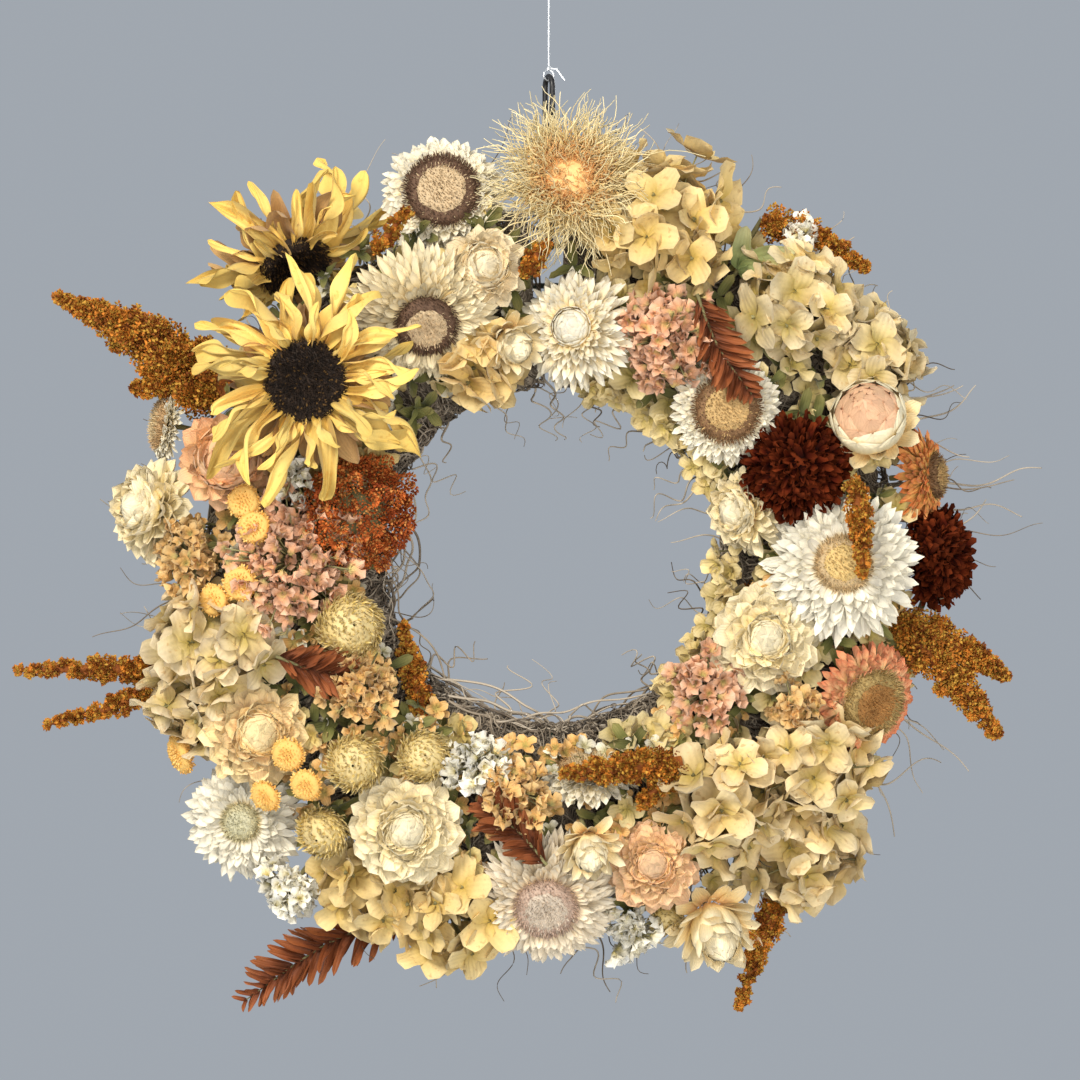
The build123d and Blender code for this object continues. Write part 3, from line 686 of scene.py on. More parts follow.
# size over the CAD head, share of the radius that the eye takes, how far it is open (0 to 1), how fine its
# bracts are, the eye, and the bract colours from base to tip
STRAWFLOWERS = {
    "ivory_top": (1.30, 0.60, 0.95, 1.6, "brown", (CREAM, IVORY, WHITE)),
    "cream_top": (1.52, 0.40, 1.0, 2.1, "brown", (CREAM, (0.96, 0.81, 0.50), IVORY)),
    "cream_inner_top": (1.40, 0.22, 0.9, 1.6, "closed", (APRICOT, CREAM, WHITE)),
    "brown_eye": (1.26, 0.60, 0.95, 1.9, "gold", (CREAM, IVORY, WHITE)),
    "orange_side": (1.62, 0.42, 1.2, 1.4, "gold", (YELLOW, (0.96, 0.62, 0.18), (0.88, 0.26, 0.07))),
    "white_large": (1.22, 0.36, 0.95, 1.5, "tan", (CREAM, WHITE, WHITE)),
    "cream_side": (1.46, 0.10, 0.6, 0.95, "closed", (APRICOT, PALE_YELLOW, IVORY)),
    "yellow_right": (1.30, 0.12, 0.85, 0.72, "closed", (PALE_YELLOW, PALE_YELLOW, IVORY)),
    "pink_brown_eye": (1.34, 0.60, 0.9, 1.5, "olive", (YELLOW, (0.96, 0.70, 0.36), (0.82, 0.27, 0.12))),
    "upright": (1.5, 0.60, 0.9, 1.2, "cream", (CREAM, IVORY, WHITE)),
    "pink_bottom": (1.30, 0.14, 0.85, 0.72, "closed", (PALE_YELLOW, (0.96, 0.73, 0.37), (0.94, 0.61, 0.36))),
    "blush_bottom": (1.40, 0.42, 1.0, 2.2, "lilac", (PEACH, (0.95, 0.80, 0.56), (0.96, 0.85, 0.66))),
    "pale_bottom": (1.34, 0.12, 0.85, 0.72, "closed", (PALE_YELLOW, PALE_YELLOW, IVORY)),
    "white_left": (1.30, 0.30, 0.9, 1.3, "green", (CREAM, WHITE, WHITE)),
    "peach_left": (1.42, 0.12, 0.75, 0.72, "closed", (APRICOT, PEACH, CREAM)),
    "white_side": (1.42, 0.10, 0.6, 0.85, "closed", (YELLOW, PALE_YELLOW, IVORY)),
    "pink_left": (1.42, 0.10, 0.4, 0.65, "closed", (PALE_YELLOW, (0.96, 0.71, 0.35), (0.93, 0.56, 0.32))),
    "side_dome": (1.36, 0.60, 0.8, 1.5, "cream", (CREAM, IVORY, WHITE)),
    "peach_top": (1.46, 0.10, 0.5, 0.65, "closed", (APRICOT, (0.95, 0.76, 0.46), (0.95, 0.82, 0.56))),
}
EYES = {
    "brown": ((0.74, 0.56, 0.34), (0.15, 0.085, 0.052)),
    "gold": ((0.70, 0.47, 0.20), (0.27, 0.15, 0.07)),
    "olive": ((0.52, 0.26, 0.08), (0.46, 0.32, 0.12)),
    "lilac": ((0.78, 0.66, 0.52), (0.58, 0.42, 0.32)),
    "cream": ((0.86, 0.68, 0.40), (0.60, 0.40, 0.20)),
    "green": ((0.72, 0.68, 0.46), (0.60, 0.54, 0.33)),
    "tan": ((0.84, 0.61, 0.25), (0.60, 0.44, 0.24)),
    "closed": ((0.84, 0.72, 0.46), (0.78, 0.62, 0.38)),
}


def bract_rows(heap, base, axis, radius, eye, openness, fine):
    """Rows of stiff pointed bracts, flat outside and more upright inside."""
    broad = fine < 1
    rows = 6 if broad else 8
    for row in range(rows):
        share = row / (rows - 1)
        count = int((23 if broad else 28 - 8 * share) * fine)
        out = spokes(axis, evenly(count, row * 0.37, 0.09))
        start = max(radius * (0.24 - 0.08 * share), eye * 0.8)
        outer = start + (radius - start) * (1 - 0.62 * share**1.2)
        tilt = -12 + 26 * (1 - openness) + (38 + 40 * (1 - openness)) * (1.2 - eye / radius) * share**1.2
        leaves(
            heap, base + axis * radius * (0.05 + 0.14 * share) + out * start, out, axis,
            (outer - start) / math.cos(math.radians(min(tilt, 60))) * between(0.86, 1.1, count),
            radius * (0.30 if broad else 0.19) / fine**0.8 * between(0.75, 1.2, count),
            tilt + between(-8, 8, count), (-20 * openness + 34 * share) + between(-16, 16, count),
            cup=between(0.3, 1.0, count), twist=between(-22, 22, count), swing=between(-0.09, 0.09, count),
            crease=0.1, belly=0.54, point=0.62 if broad else 0.72, neck=0.55, rows=7,
        )


def egg_of_bracts(heap, base, axis, radius, height, rows, count, flare, slots=(0, 0)):
    """Broad bracts that overlap over an egg and close at its top. The lowest two rows are short and flare
    outwards; slots are the materials of those and of the rest."""
    s = np.linspace(0, 1, 9)[None, :, None]
    t = np.linspace(-1, 1, 7)[None, None, :]
    outline = np.maximum((s**0.5 * (1 - s) ** 0.5 * 2) ** 0.5, np.where(s < 0.5, 0.8, 0.06))

    def egg(high):
        return np.abs(np.sin(math.pi * high**0.72)) ** 0.75

    high = np.linspace(0.02, 1, 16)
    turned(heap, base, axis, 0.95 * radius, egg(high), height, high, 26, 0.01, slots[1])
    for row in range(rows):
        share = row / (rows - 1)
        azimuth = evenly(count, row * 1.9)[:, None, None]
        turn = azimuth + 0.62 * outline * t * 6 / count * between(0.9, 1.15, count)[:, None, None]
        last = (0.62 + 0.40 * share) * between(0.92, 1.06, count)[:, None, None]
        high = np.clip(0.05 + (last - 0.05) * s + 0 * t, 0, 1)
        spread = flare * (1 - share) ** 2 * s**2
        reach = radius * (egg(high) + spread + (1 - share) * 0.16) + radius * 0.05 * (1 - t**2)
        grids = base + axis * (height * high)[..., None] + spokes(axis, turn) * reach[..., None]
        heap.add(grids, s, t, between(0, 1, count)[:, None, None], slots[0] if row < 2 else slots[1])


def eye_of_florets(heap, base, axis, radius, slot_ring, slot_middle, height):
    """A fuzzy disc: a low cushion with many bristly florets, the middle ones of another colour."""
    turned(
        heap, base, axis, radius, (0.9, 0.9, 0.75, 0.5, 0.2, 0.02),
        height, (0.1, 0.5, 0.8, 0.86, 0.8, 0.78), 26, slot=slot_ring,
    )
    turned(
        heap, base, axis, radius, (0.64, 0.6, 0.4, 0.2, 0.02),
        height, (0.8, 0.88, 0.95, 0.92, 0.9), 26, slot=slot_middle,
    )
    count = int(80 + radius * radius * 5)
    share, out = packed_disc(axis, count)
    dome = height * (1 - 0.6 * share**2.6 - 0.12 * (1 - share) ** 2)
    spot = base + out * (share * radius * 0.97)[:, None] + axis * (dome - 0.8)[:, None]
    lean = unit(axis + out * (share * 0.8)[:, None] + random.normal(0, 0.2, out.shape))
    inner = share + random.normal(0, 0.13, count) < 0.6
    for chosen, slot in ((inner, slot_middle), (~inner, slot_ring)):
        number = chosen.sum()
        leaves(
            heap, spot[chosen], lean[chosen], out[chosen], between(1.6, 3.3, number), between(0.3, 0.6, number),
            cup=1.2, curl=between(-30, 30, number), neck=0.7, rows=3, columns=2, slot=slot,
        )


def strawflowers():
    eyes = {}
    for name, (middle, ring) in EYES.items():
        shaded, dark, light = (
            tuple(factor * c for c in colour) for factor, colour in ((0.55, middle), (0.5, ring), (1.25, ring))
        )
        eyes[name] = (
            grain_material(f"eye_{name}_middle", shaded, middle, scale=900),
            grain_material(f"eye_{name}_ring", dark, light, scale=900),
        )
    slots = {part["node"]: part["material_slot"] for part in frame["record"]["subparts"]}
    for name, (spread, eye_share, openness, fine, eye, colours) in STRAWFLOWERS.items():
        node = "strawflower_" + name
        (top, axis, radius, tall), = heads(node)
        base = top - axis * radius * 0.34
        radius *= spread
        bracts = petal_material(f"{node}_bracts", *colours, rough=(0.32, 0.6), sheen=0.1)
        heap = Heap()
        bract_rows(heap, base - axis * 0.03 * radius, axis, radius, radius * eye_share, openness, fine)
        if eye == "closed":
            shut = radius * (0.2 + 0.42 * (1 - openness))
            tip = shut * 1.5 + radius * 0.14
            egg_of_bracts(heap, base + axis * radius * 0.06, axis, shut, tip, 6, 6, 0.3)
        else:
            disc, rise = radius * eye_share, radius * 0.2 + 1.2
            eye_of_florets(heap, base + axis * radius * 0.12, axis, disc, 2, 1, rise)
        turned(
            heap, base - axis * radius * 0.16, axis, radius, (1.2 / radius, 0.2, 0.36, 0.42),
            radius, (0.0, 0.02, 0.1, 0.22), 22, slot=3,
        )
        stem(heap, base - axis * radius * 0.1, axis, tall - 0.3 * radius, 3)
        heap.make(node + "_flower", [bracts, *eyes[eye], STEM], slots[node], replaced=[node])


def buds():
    """Closed strawflowers: broad glossy bracts close to a point, and the outer ones begin to spread. The
    large one stays shut, and the others open like a tulip."""
    white = petal_material("bud_white_bracts", APRICOT, CREAM, IVORY, (0.3, 0.55), sheen=0.05)
    blush = petal_material(
        "bud_peach_bracts", CREAM, (0.90, 0.60, 0.34), (0.88, 0.52, 0.31), (0.22, 0.45), sheen=0.05
    )
    # number of bracts, where they start, their length, and their lowest and highest tilt
    shut_whorls = ((14, 0.5, 1.3, 20, 50),)
    open_whorls = ((9, 0.3, 2.1, 66, 80), (11, 0.4, 1.8, 48, 66), (12, 0.45, 1.4, 15, 45))
    heap = Heap()
    for top, axis, radius, tall in heads("strawflower_buds"):
        base = top - axis * 1.3 * radius
        peach = int(radius > 11.2)
        grown = radius * 1.12
        egg_of_bracts(heap, base, axis, grown * (0.66 + 0.26 * peach), 2.3 * grown, 7, 5, 0.2, (0, peach))
        for count, start, long, low, high in shut_whorls if peach else open_whorls:
            out = spokes(axis, evenly(count))
            leaves(
                heap, base + out * grown * start, out, axis, grown * long * between(0.85, 1.1, count),
                grown * 0.62, between(low, high, count), between(-26, 16, count), cup=0.6,
                twist=between(-14, 14, count), crease=0.08, point=0.65, neck=0.6, rows=9, columns=6,
            )
        stem(heap, base, axis, tall - 1.3 * radius, 2)
    heap.make("strawflower_bud_heads", [white, blush, STEM], "cream_bract", replaced=["strawflower_buds"])


# ---- sunflowers


def sunflower(name, size, petals, droop, seed_share, nod=0.0, withered=0.0):
    """Dried sunflower: three whorls of wrinkled, curled rays, withered sepals behind, and a dark seed head.
    nod tips the flower forward, in degrees, more than its CAD head. withered shortens the rays below."""
    (top, axis, disc_radius, _), = heads(name + "_disc")
    corners, _, _, _ = next(solids(name + "_rays"))
    base = top - axis * 5.5
    radius = np.linalg.norm(corners - base - ((corners - base) @ axis)[:, None] * axis, axis=1).max() * size
    stem_way = axis
    axis = unit(axis + math.tan(math.radians(nod)) * unit(np.array([0.55, 0.0, -0.83])))
    rays = petal_material(
        name + "_rays", (0.74, 0.46, 0.08), (0.86, 0.63, 0.19), (0.83, 0.57, 0.13), (0.55, 0.8), ribs=18,
        spread=0.26, spots=(0.66, 0.36, 0.06),
    )
    husk = petal_material(
        name + "_sepals", (0.24, 0.13, 0.045), (0.50, 0.29, 0.10), (0.62, 0.38, 0.15), (0.6, 0.85)
    )
    heap = Heap()
    # number of rays, share of the full length, lowest and highest lift, and most curl
    whorls = ((petals, 1.0, -16, 8, 90), (petals, 0.92, -4, 24, 80), (petals // 2, 0.7, 8, 50, 35))
    for whorl, (count, share, low, high, curl) in enumerate(whorls):
        out = spokes(axis, evenly(count, whorl * 0.2, 0.13))
        long = (radius - disc_radius * 0.8) * share * between(0.74, 1.12, count)
        long = long * (1 - withered * np.clip(-out[:, 2] + 0.1, 0, 1))
        leaves(
            heap, base + out * disc_radius * 0.82 + axis * (0.5 + whorl), out, axis, long,
            long * between(0.13, 0.25, count), between(low, high, count) + droop, between(-90, curl, count),
            cup=between(0.1, 1.7, count), twist=between(-200, 200, count), wave=between(0.4, 1.2, count),
            swing=between(-0.5, 0.5, count), crease=0.5, pleat=0.26, belly=0.42, point=0.55, neck=0.45,
            rows=26, columns=14,
        )
    count = 24
    out = spokes(axis, evenly(count))
    leaves(
        heap, base + out * disc_radius * 0.7 - axis * 1.5, out, axis, radius * between(0.36, 0.6, count),
        radius * between(0.14, 0.24, count), between(-40, 10, count), between(-70, 50, count), cup=0.9,
        twist=between(-70, 70, count), wave=0.4, crease=0.3, belly=0.35, point=0.7, neck=0.7, rows=12,
        columns=6, slot=1,
    )
    turned(heap, base - axis * 5, axis, disc_radius, (0.15, 0.6, 0.85, 0.9), 1, (0, 1, 3, 5.5), 36, 0.02, 1)
    stem(heap, base - axis * 4, stem_way, 30, 2, 2.4)
    heap.make(name + "_petals", [rays, husk, STEM], "sunflower_petal", replaced=[name + "_rays"])

    dark = grain_material(
        name + "_florets", (0.006, 0.004, 0.003), (0.035, 0.019, 0.010), (0.17, 0.09, 0.026), 900, seed_share
    )
    fuzz = grain_material(
        name + "_fuzz", (0.03, 0.018, 0.010), (0.18, 0.11, 0.045), (0.42, 0.26, 0.07), 900, 0.7
    )
    disc = Heap()
    turned(
        disc, base, axis, disc_radius, (1.0, 1.0, 0.9, 0.7, 0.45, 0.2, 0.02),
        1, (0, 2.6, 4.4, 5.2, 4.9, 4.3, 4.1), 48, 0.02,
    )
    share, out = packed_disc(axis, 1300)
    dome = 4.1 + 1.2 * np.sin(share * math.pi * 0.9) - 2.6 * np.clip(share - 0.8, 0, 1) / 0.2
    spot = base + out * (share * disc_radius * 0.99)[:, None] + axis * (dome - 0.5)[:, None]
    lean = unit(axis + out * (0.2 + share[:, None] * 0.5) + random.normal(0, 0.2, out.shape))
    rim = share > 0.9
    for chosen, slot, tall, wide in ((~rim, 0, 2.4, 0.75), (rim, 1, 2.8, 0.7)):
        leaves(
            disc, spot[chosen], lean[chosen], out[chosen], tall * between(0.5, 1.2, chosen.sum()), wide,
            cup=1.3, belly=0.6, point=0.4, neck=0.7, rows=3, columns=2, slot=slot,
        )
    disc.make(name + "_seed_disc", [dark, fuzz], "sunflower_disc", replaced=[name + "_disc"])


# ---- domes of florets


def dome_spots(top, axis, radius, height, spacing, sink=0.0, rough=0.06, tumble=0.18):
    """Points spread over a dome, with the way out from its middle at each."""
    count = max(8, int(2 * math.pi * radius * (0.5 * radius + 0.6 * height) / spacing**2))
    share = (np.arange(count) + 0.5) / count
    lean = (np.radians(104) * np.sqrt(share))[:, None]
    rise, spread = np.cos(lean), np.sin(lean) * spokes(axis, spiral(count))
    jitter = 1 + random.normal(0, rough, (count, 1)) - sink
    middle = top - axis * height
    way = rise * axis + spread + random.normal(0, tumble, (count, 3))
    return middle + (rise * height * axis + spread * radius) * jitter, unit(way), middle


def florets(heap, spots, ways, petals, length, width, lift, curl, **shape):
    """A small flower of a few petals at each spot."""
    count = len(spots)
    start, size, tone = between(0, PHASE, count), between(0.78, 1.15, count), between(0, 1, count)
    for k in range(petals):
        out = spokes(ways, start + k * 2 * math.pi / petals + between(-0.1, 0.1, count))
        leaves(
            heap, spots, out, ways, length * size, width * size, lift + between(-12, 12, count),
            curl + between(-22, 22, count), tone=np.clip(tone + between(-0.12, 0.12, count), 0, 1), **shape,
        )


# size over the CAD head, length of a sepal, and the sepal colours from base to tip
HYDRANGEAS = {
    "hydrangea_top": (1.44, 15.0, ((0.55, 0.37, 0.08), (0.75, 0.55, 0.21), (0.81, 0.62, 0.30))),
    "hydrangea_right": (1.38, 13.0, ((0.49, 0.36, 0.08), (0.71, 0.55, 0.25), (0.80, 0.66, 0.41))),
    "hydrangea_lower_right": (1.46, 14.0, ((0.51, 0.36, 0.08), (0.73, 0.55, 0.24), (0.82, 0.66, 0.39))),
    "hydrangea_bottom": (1.48, 13.2, ((0.55, 0.37, 0.08), (0.75, 0.55, 0.21), (0.82, 0.63, 0.30))),
    "hydrangea_left": (1.48, 13.2, ((0.49, 0.36, 0.08), (0.71, 0.55, 0.25), (0.82, 0.67, 0.43))),
}


def hydrangeas():
    for node, (spread, sepal, colours) in HYDRANGEAS.items():
        sepals = petal_material(
            node + "_sepals", *colours, rough=(0.55, 0.8), ribs=14, spread=0.18, spots=(0.46, 0.25, 0.08)
        )
        heap = Heap()
        for top, axis, radius, tall in heads(node):
            height = radius * 0.8
            grown = radius * spread * 0.87
            for sink, spacing in ((0.0, 0.92 * sepal), (0.26, 1.0 * sepal)):
                spots, ways, middle = dome_spots(top + axis, axis, grown, height, spacing, sink, 0.14, 0.42)
                count = len(spots)
                florets(
                    heap, spots, ways, 4, sepal, 0.77 * sepal, 10, -6, cup=between(0.0, 0.5, count),
                    wave=between(0.1, 0.32, count), crease=0.09, belly=0.54, point=0.58, neck=0.16, rows=8,
                    columns=6,
                )
                leaves(
                    heap, spots + ways * 0.2, ways, across_of(ways)[0], 1.5, 1.7, cup=1.6, point=0.4,
                    neck=0.9, rows=3, columns=3, slot=1, tone=between(0, 1, count),
                )
                stalks(heap, middle, spots, (0.1, 0.4, 0.7, 0.99))
            stem(heap, top - axis * height, axis, tall - height)
        heap.make(node + "_florets", [sepals, STEM], "hydrangea_sepal", replaced=[node])


def statices():
    """Clumps of small frilled florets. The one above small_sprig, in millimetres, is only a sprig."""
    small_sprig = -90.0
    for node, petal, tip in (
        ("statice_pink", (0.80, 0.40, 0.20), (0.86, 0.54, 0.36)),
        ("statice_peach", (0.76, 0.44, 0.14), (0.84, 0.58, 0.26)),
        ("statice_white", (0.93, 0.87, 0.68), (0.96, 0.93, 0.84)),
    ):
        frills = petal_material(node + "_frills", (0.56, 0.46, 0.15), petal, tip, (0.5, 0.8), 20, 0.3)
        heap = Heap()
        for top, axis, radius, tall in heads(node):
            height = radius * 0.75
            grown = radius * (1.42 if top[2] < small_sprig else 0.9)
            spots, ways, middle = dome_spots(top + axis * 1.2, axis, grown * 0.92, height, 4.4, 0, 0.26, 0.8)
            roots = spots - ways * 2.8
            florets(
                heap, roots, ways, 5, 6.6, 3.6, 56, -42, cup=0.6, wave=0.9, crease=0.35, belly=0.66, neck=0.3,
                rows=5,
            )
            stalks(heap, middle, roots, (0.0, 0.4, 0.75, 1.0))
            stem(heap, top - axis * height, axis, tall - height)
        heap.make(node + "_florets", [frills, STEM], node + "_petal", replaced=[node])


def zinnias():
    """Dried pompon zinnias: many short curled petals packed over a dome."""
    dark = petal_material(
        "zinnia_petals", (0.014, 0.0015, 0.001), (0.070, 0.008, 0.002), (0.17, 0.030, 0.007), (0.75, 0.95),
        spread=0.5, sheen=0, gloss=0.08,
    )
    for node, spread in (("zinnia_inner", 1.22), ("zinnia_outer", 1.42)):
        (top, axis, radius, tall), = heads(node)
        height = 0.6 * radius
        grown = radius * spread
        base = top - axis * height
        heap = Heap()
        for sink, spacing in ((0.0, 2.3), (0.2, 2.8)):
            spots, ways, middle = dome_spots(top, axis, grown * 0.88, height * 1.15, spacing, sink, 0.07, 0.3)
            count = len(spots)
            level = unit(spots - middle - axis * np.sum((spots - middle) * axis, 1, keepdims=True) + 1e-6)
            leaves(
                heap, spots - ways * 3.6, unit(ways * 0.8 + level * 0.7), unit(ways + axis * 0.4),
                between(4.6, 8.4, count), between(1.7, 3.2, count), between(-10, 25, count),
                between(-80, 70, count), cup=between(0.4, 2.0, count), twist=between(-60, 60, count), wave=0.4,
                crease=0.2, belly=0.62, point=0.45, neck=0.4,
            )
        turned(
            heap, base, axis, grown, (0.1, 0.62, 0.7, 0.5, 0.02), height, (0, 0.1, 0.35, 0.56, 0.6), bumps=0.04
        )
        stem(heap, base, axis, tall - height)
        heap.make(node + "_petals", [dark, STEM], "zinnia_petal", replaced=[node])


def spider_flower():
    """Long, fine, wavy threads round a warm middle."""
    threads, warm = (
        petal_material(name, *colours, ribs=4, spread=spread, sheen=0.1)
        for name, colours, spread in (
            ("spider_threads", ((1.0, 0.60, 0.20), (1.0, 0.76, 0.33), (1.0, 0.86, 0.51)), 0.1),
            ("spider_middle", ((0.97, 0.50, 0.14), (1.0, 0.50, 0.17), (1.0, 0.66, 0.28)), 0.12),
        )
    )
    heap = Heap()
    (top, axis, radius, tall), = heads("spider_flower")
    height, grown = 13.0, radius * 1.62
    base = top - axis * height
    s = np.linspace(0, 1, 13)[None, :, None]
    # number, lowest and highest tilt, share of the length, where they start, thickness and material
    for count, low, high, share, from_middle, thick, slot in (
        (460, -22, 20, 1.0, 6, 0.40, 0), (420, 5, 40, 0.84, 8, 0.40, 0), (320, 25, 60, 0.5, 12, 0.38, 0),
        (700, 45, 88, 0.36, 14, 0.40, 1),
    ):
        azimuth, tilt = between(0, TURN, count), np.radians(between(low, high, count))[:, None]
        out = spokes(axis, azimuth)
        way = out * np.cos(tilt) + axis * np.sin(tilt)
        long = (grown * share * between(0.55, 1.12, count))[:, None, None]
        bend = random.normal(0, 0.30, (2, count, 1, 1))
        swing, phase = between(4, 9, count)[:, None, None], random.uniform(0, PHASE, (2, count, 1, 1))
        drift = sum(
            across[:, None] * (bend[k] * s**2 + 0.05 * np.sin(swing * s * 2 + phase[k]))
            for k, across in enumerate(across_of(way))
        )
        root = base + axis * height * 0.35 + out * (from_middle * np.sqrt(between(0, 1, count)))[:, None]
        paths = root[:, None] + (way[:, None] * s + drift) * long
        tubes(heap, paths, thick * (1 - 0.55 * s[..., 0]), 3, slot=slot)
    for reach, rise, slot in ((0.6, 0.5, 0), (0.38, 0.85, 1)):
        turned(
            heap, base, axis, grown * reach, (0.5, 0.95, 1.0, 0.8, 0.5, 0.02),
            height * rise, (0, 0.2, 0.5, 0.85, 0.97, 1.0), 30, 0.05, slot,
        )
    stem(heap, base, axis, tall - height, 2)
    heap.make("spider_flower_threads", [threads, warm, STEM], "spider_petal", replaced=["spider_flower"])


def globes_and_buttons():
    """Globes of fine bracts, and yellow buttons, which stand a little higher than in the CAD model."""
    bract = petal_material("globe_bracts", (0.44, 0.30, 0.06), (0.68, 0.50, 0.15), (0.83, 0.67, 0.33), ribs=6)
    heap = Heap()
    for top, axis, radius, tall in heads("gomphrena_globes"):
        height = radius * 1.5
        base = top - axis * height
        spots, ways, _ = dome_spots(top, axis, radius * 1.06, height * 0.6, 1.5, 0, 0.03, 0.2)
        count = len(spots)
        level = unit(np.cross(ways, axis) * 1.0 + random.normal(0, 0.3, ways.shape))
        leaves(
            heap, spots - ways * 1.6, unit(ways * 0.55 + level * 0.8 + axis * 0.5), ways,
            between(2.6, 4.2, count), between(0.7, 1.3, count), between(-5, 25, count), between(-40, 10, count),
            cup=0.9, belly=0.35, point=0.9, neck=0.5, rows=4, columns=2,
        )
        turned(
            heap, base, axis, radius, (0.15, 0.7, 0.9, 0.9, 0.6, 0.05),
            height, (0.02, 0.12, 0.35, 0.6, 0.86, 0.95), bumps=0.02,
        )
        stem(heap, base, axis, tall - height)
    heap.make("gomphrena_heads", [bract, STEM], "globe_bract", replaced=["gomphrena_globes"])

    yellow = grain_material("button_florets", (0.72, 0.40, 0.07), (0.95, 0.66, 0.24), (0.90, 0.54, 0.15), 800)
    heap = Heap()
    raised = 8
    for top, axis, radius, tall in heads("tansy_buttons"):
        height = radius * 0.9
        grown = radius * 1.4
        top = top + axis * raised
        base = top - axis * height
        turned(
            heap, base, axis, grown, (0.2, 0.95, 1.0, 0.85, 0.5, 0.03),
            height, (0.1, 0.2, 0.55, 0.85, 0.86, 0.7),
        )
        spots, ways, _ = dome_spots(top, axis, grown, height * 0.75, 0.95)
        leaves(
            heap, spots - ways * 0.8, ways, across_of(ways)[0], between(1.2, 2.0, len(spots)), 0.85,
            cup=1.5, belly=0.6, point=0.35, neck=0.8, rows=3, columns=2,
        )
        stem(heap, base, axis, tall + raised - height, radius=0.8)
    heap.make("tansy_heads", [yellow, STEM], "button_yellow", replaced=["tansy_buttons"])


# ---- amaranth, fern and leaf
# (clock, reach, depth) along each branch, and its radius there, as in the CAD source.
AMARANTHS = {
    "amaranth_upper_left": (
        (((296, 146, 30), (298, 188, 30), (297.6, 226, 24)), (9, 8, 2.6)),
        (((297.5, 152, 30), (291.8, 181, 34)), (6.4, 3.6)),
    ),
    "amaranth_left": (
        (((253, 160, 18), (256, 190, 22), (257.9, 221, 24)), (5, 5, 2.4)),
        (((253, 160, 18), (251, 185, 24), (251.5, 215, 26)), (5, 4.5, 2.4)),
    ),
    "amaranth_inner_left": ((((217, 83, 44), (230, 73, 36), (245, 66, 28)), (4, 5, 2.4)),),
    "amaranth_top_right": ((((32, 160, 26), (40, 166, 28), (47.6, 172, 26)), (5, 6, 3)),),
    "amaranth_inner_right": ((((98, 86, 34), (108, 74, 32), (123, 66, 28)), (4.5, 4.5, 2.2)),),
    "amaranth_right": (
        (((101, 140, 34), (103, 170, 32), (105, 190, 28)), (9, 7, 2.8)),
        (((101, 140, 34), (107, 168, 38), (111.9, 193, 32)), (9, 8, 3)),
    ),
    "amaranth_bottom_centre": (
        (((148, 96, 60), (162, 88, 66), (177, 86, 62)), (5, 6, 3)),
        (((148, 96, 60), (160, 104, 60)), (5, 4)),
    ),
    "amaranth_bottom_right": ((((147, 166, 30), (152, 178, 30), (157.5, 197, 26)), (5, 5, 3)),),
    "amaranth_sprigs": (
        (((330, 140, 52), (337, 148, 54)), (4.5, 2.6)),
        (((355, 112, 60), (358, 122, 62)), (4, 5)),
        (((76, 122, 70), (85, 121, 78), (93.6, 121, 80)), (4.5, 4.5, 2.6)),
    ),
}


# how much fuller the base of a spike is than its CAD core
FULLNESS = {
    "amaranth_upper_left": 2.2, "amaranth_top_right": 1.8, "amaranth_right": 1.45,
    "amaranth_bottom_centre": 1.6,
}
USUAL_FULLNESS = 1.5


def seeds(heap, spots, ways, tips, number, reach, plump=0.3):
    """Small seed clusters: number of seeds over a rounded lump at each spot, growing along ways."""
    count = len(spots)
    share = np.tile(np.linspace(0.1, 1, number), count)
    way, tip = (np.repeat(value, number, axis=0) for value in (ways, tips))
    total = len(way)
    around = spokes(way, spiral(total))
    long = np.repeat(reach, number)
    root = np.repeat(spots, number, axis=0) + way * (share * long)[:, None]
    root = root + around * (np.sqrt(1.02 - share**2) * long * plump)[:, None]
    out = unit(around * 0.9 + way * 0.7 + tip * 0.4 + random.normal(0, 0.2, way.shape))
    tone = np.clip(np.repeat(between(0, 1, count), number) + between(-0.3, 0.3, total), 0, 1)
    leaves(
        heap, root, out, way, between(1.0, 1.7, total), between(0.9, 1.4, total), cup=1.4, neck=0.6, rows=2,
        columns=2, tone=tone,
    )


def tassel(heap, points, radii, fullness):
    """A drooping spike: a core with side lobes, covered with small seed clusters."""
    path = smooth_path(place(*np.array(points, float).T), 60)
    length = np.linalg.norm(np.diff(path, axis=0), axis=1).sum()
    along = unit(np.gradient(path, axis=0))
    wide = np.interp(np.linspace(0, 1, 60), np.linspace(0, 1, len(radii)), radii)
    wide = wide * np.linspace(fullness, 0.85, 60)
    # the core takes the darkest rust tone: partly its own colour, partly painted shade where it shows between
    # the seed clusters
    tubes(heap, path, wide * 0.34, 8, tone=0.05)
    clusters = []
    lobes = int(length / 4)
    at = np.clip(np.linspace(2, 55, lobes) + between(-2, 2, lobes), 0, 58).astype(int)
    lobe_ways = unit(spokes(along[at], spiral(lobes)) + along[at] * 0.8)
    for spot, way, lobe in zip(path[at], lobe_ways, wide[at]):
        number = max(4, int(lobe * lobe / 2.8))
        start = spot + way * (between(0.1, 1.0, number)[:, None] * lobe * 0.75)
        ways = unit(way * 0.5 + random.normal(0, 0.8, (number, 3)))
        clusters.append((start, ways, way + 0 * ways, np.full(number, 1.5 + 0.26 * lobe)))
    count = int(length * wide.mean() / 3.4)
    at = np.sort(between(0, 58.9, count)).astype(int)
    around = spokes(along[at], spiral(count))
    ways = unit(around + along[at] * between(0.2, 0.9, count)[:, None])
    start = path[at] + around * (wide[at] * 0.3)[:, None]
    clusters.append((start, ways, along[at], wide[at] * between(0.4, 0.7, count)))
    start = path[-1] - along[-1] * 2 + random.normal(0, 0.4, (5, 3))
    ways = unit(along[-1] + random.normal(0, 0.3, (5, 3)))
    clusters.append((start, ways, along[-1] + 0 * ways, np.full(5, 2.8)))
    spots, ways, tips, sizes = (np.concatenate(group) for group in zip(*clusters))
    seeds(heap, spots, ways, tips, 18, sizes)


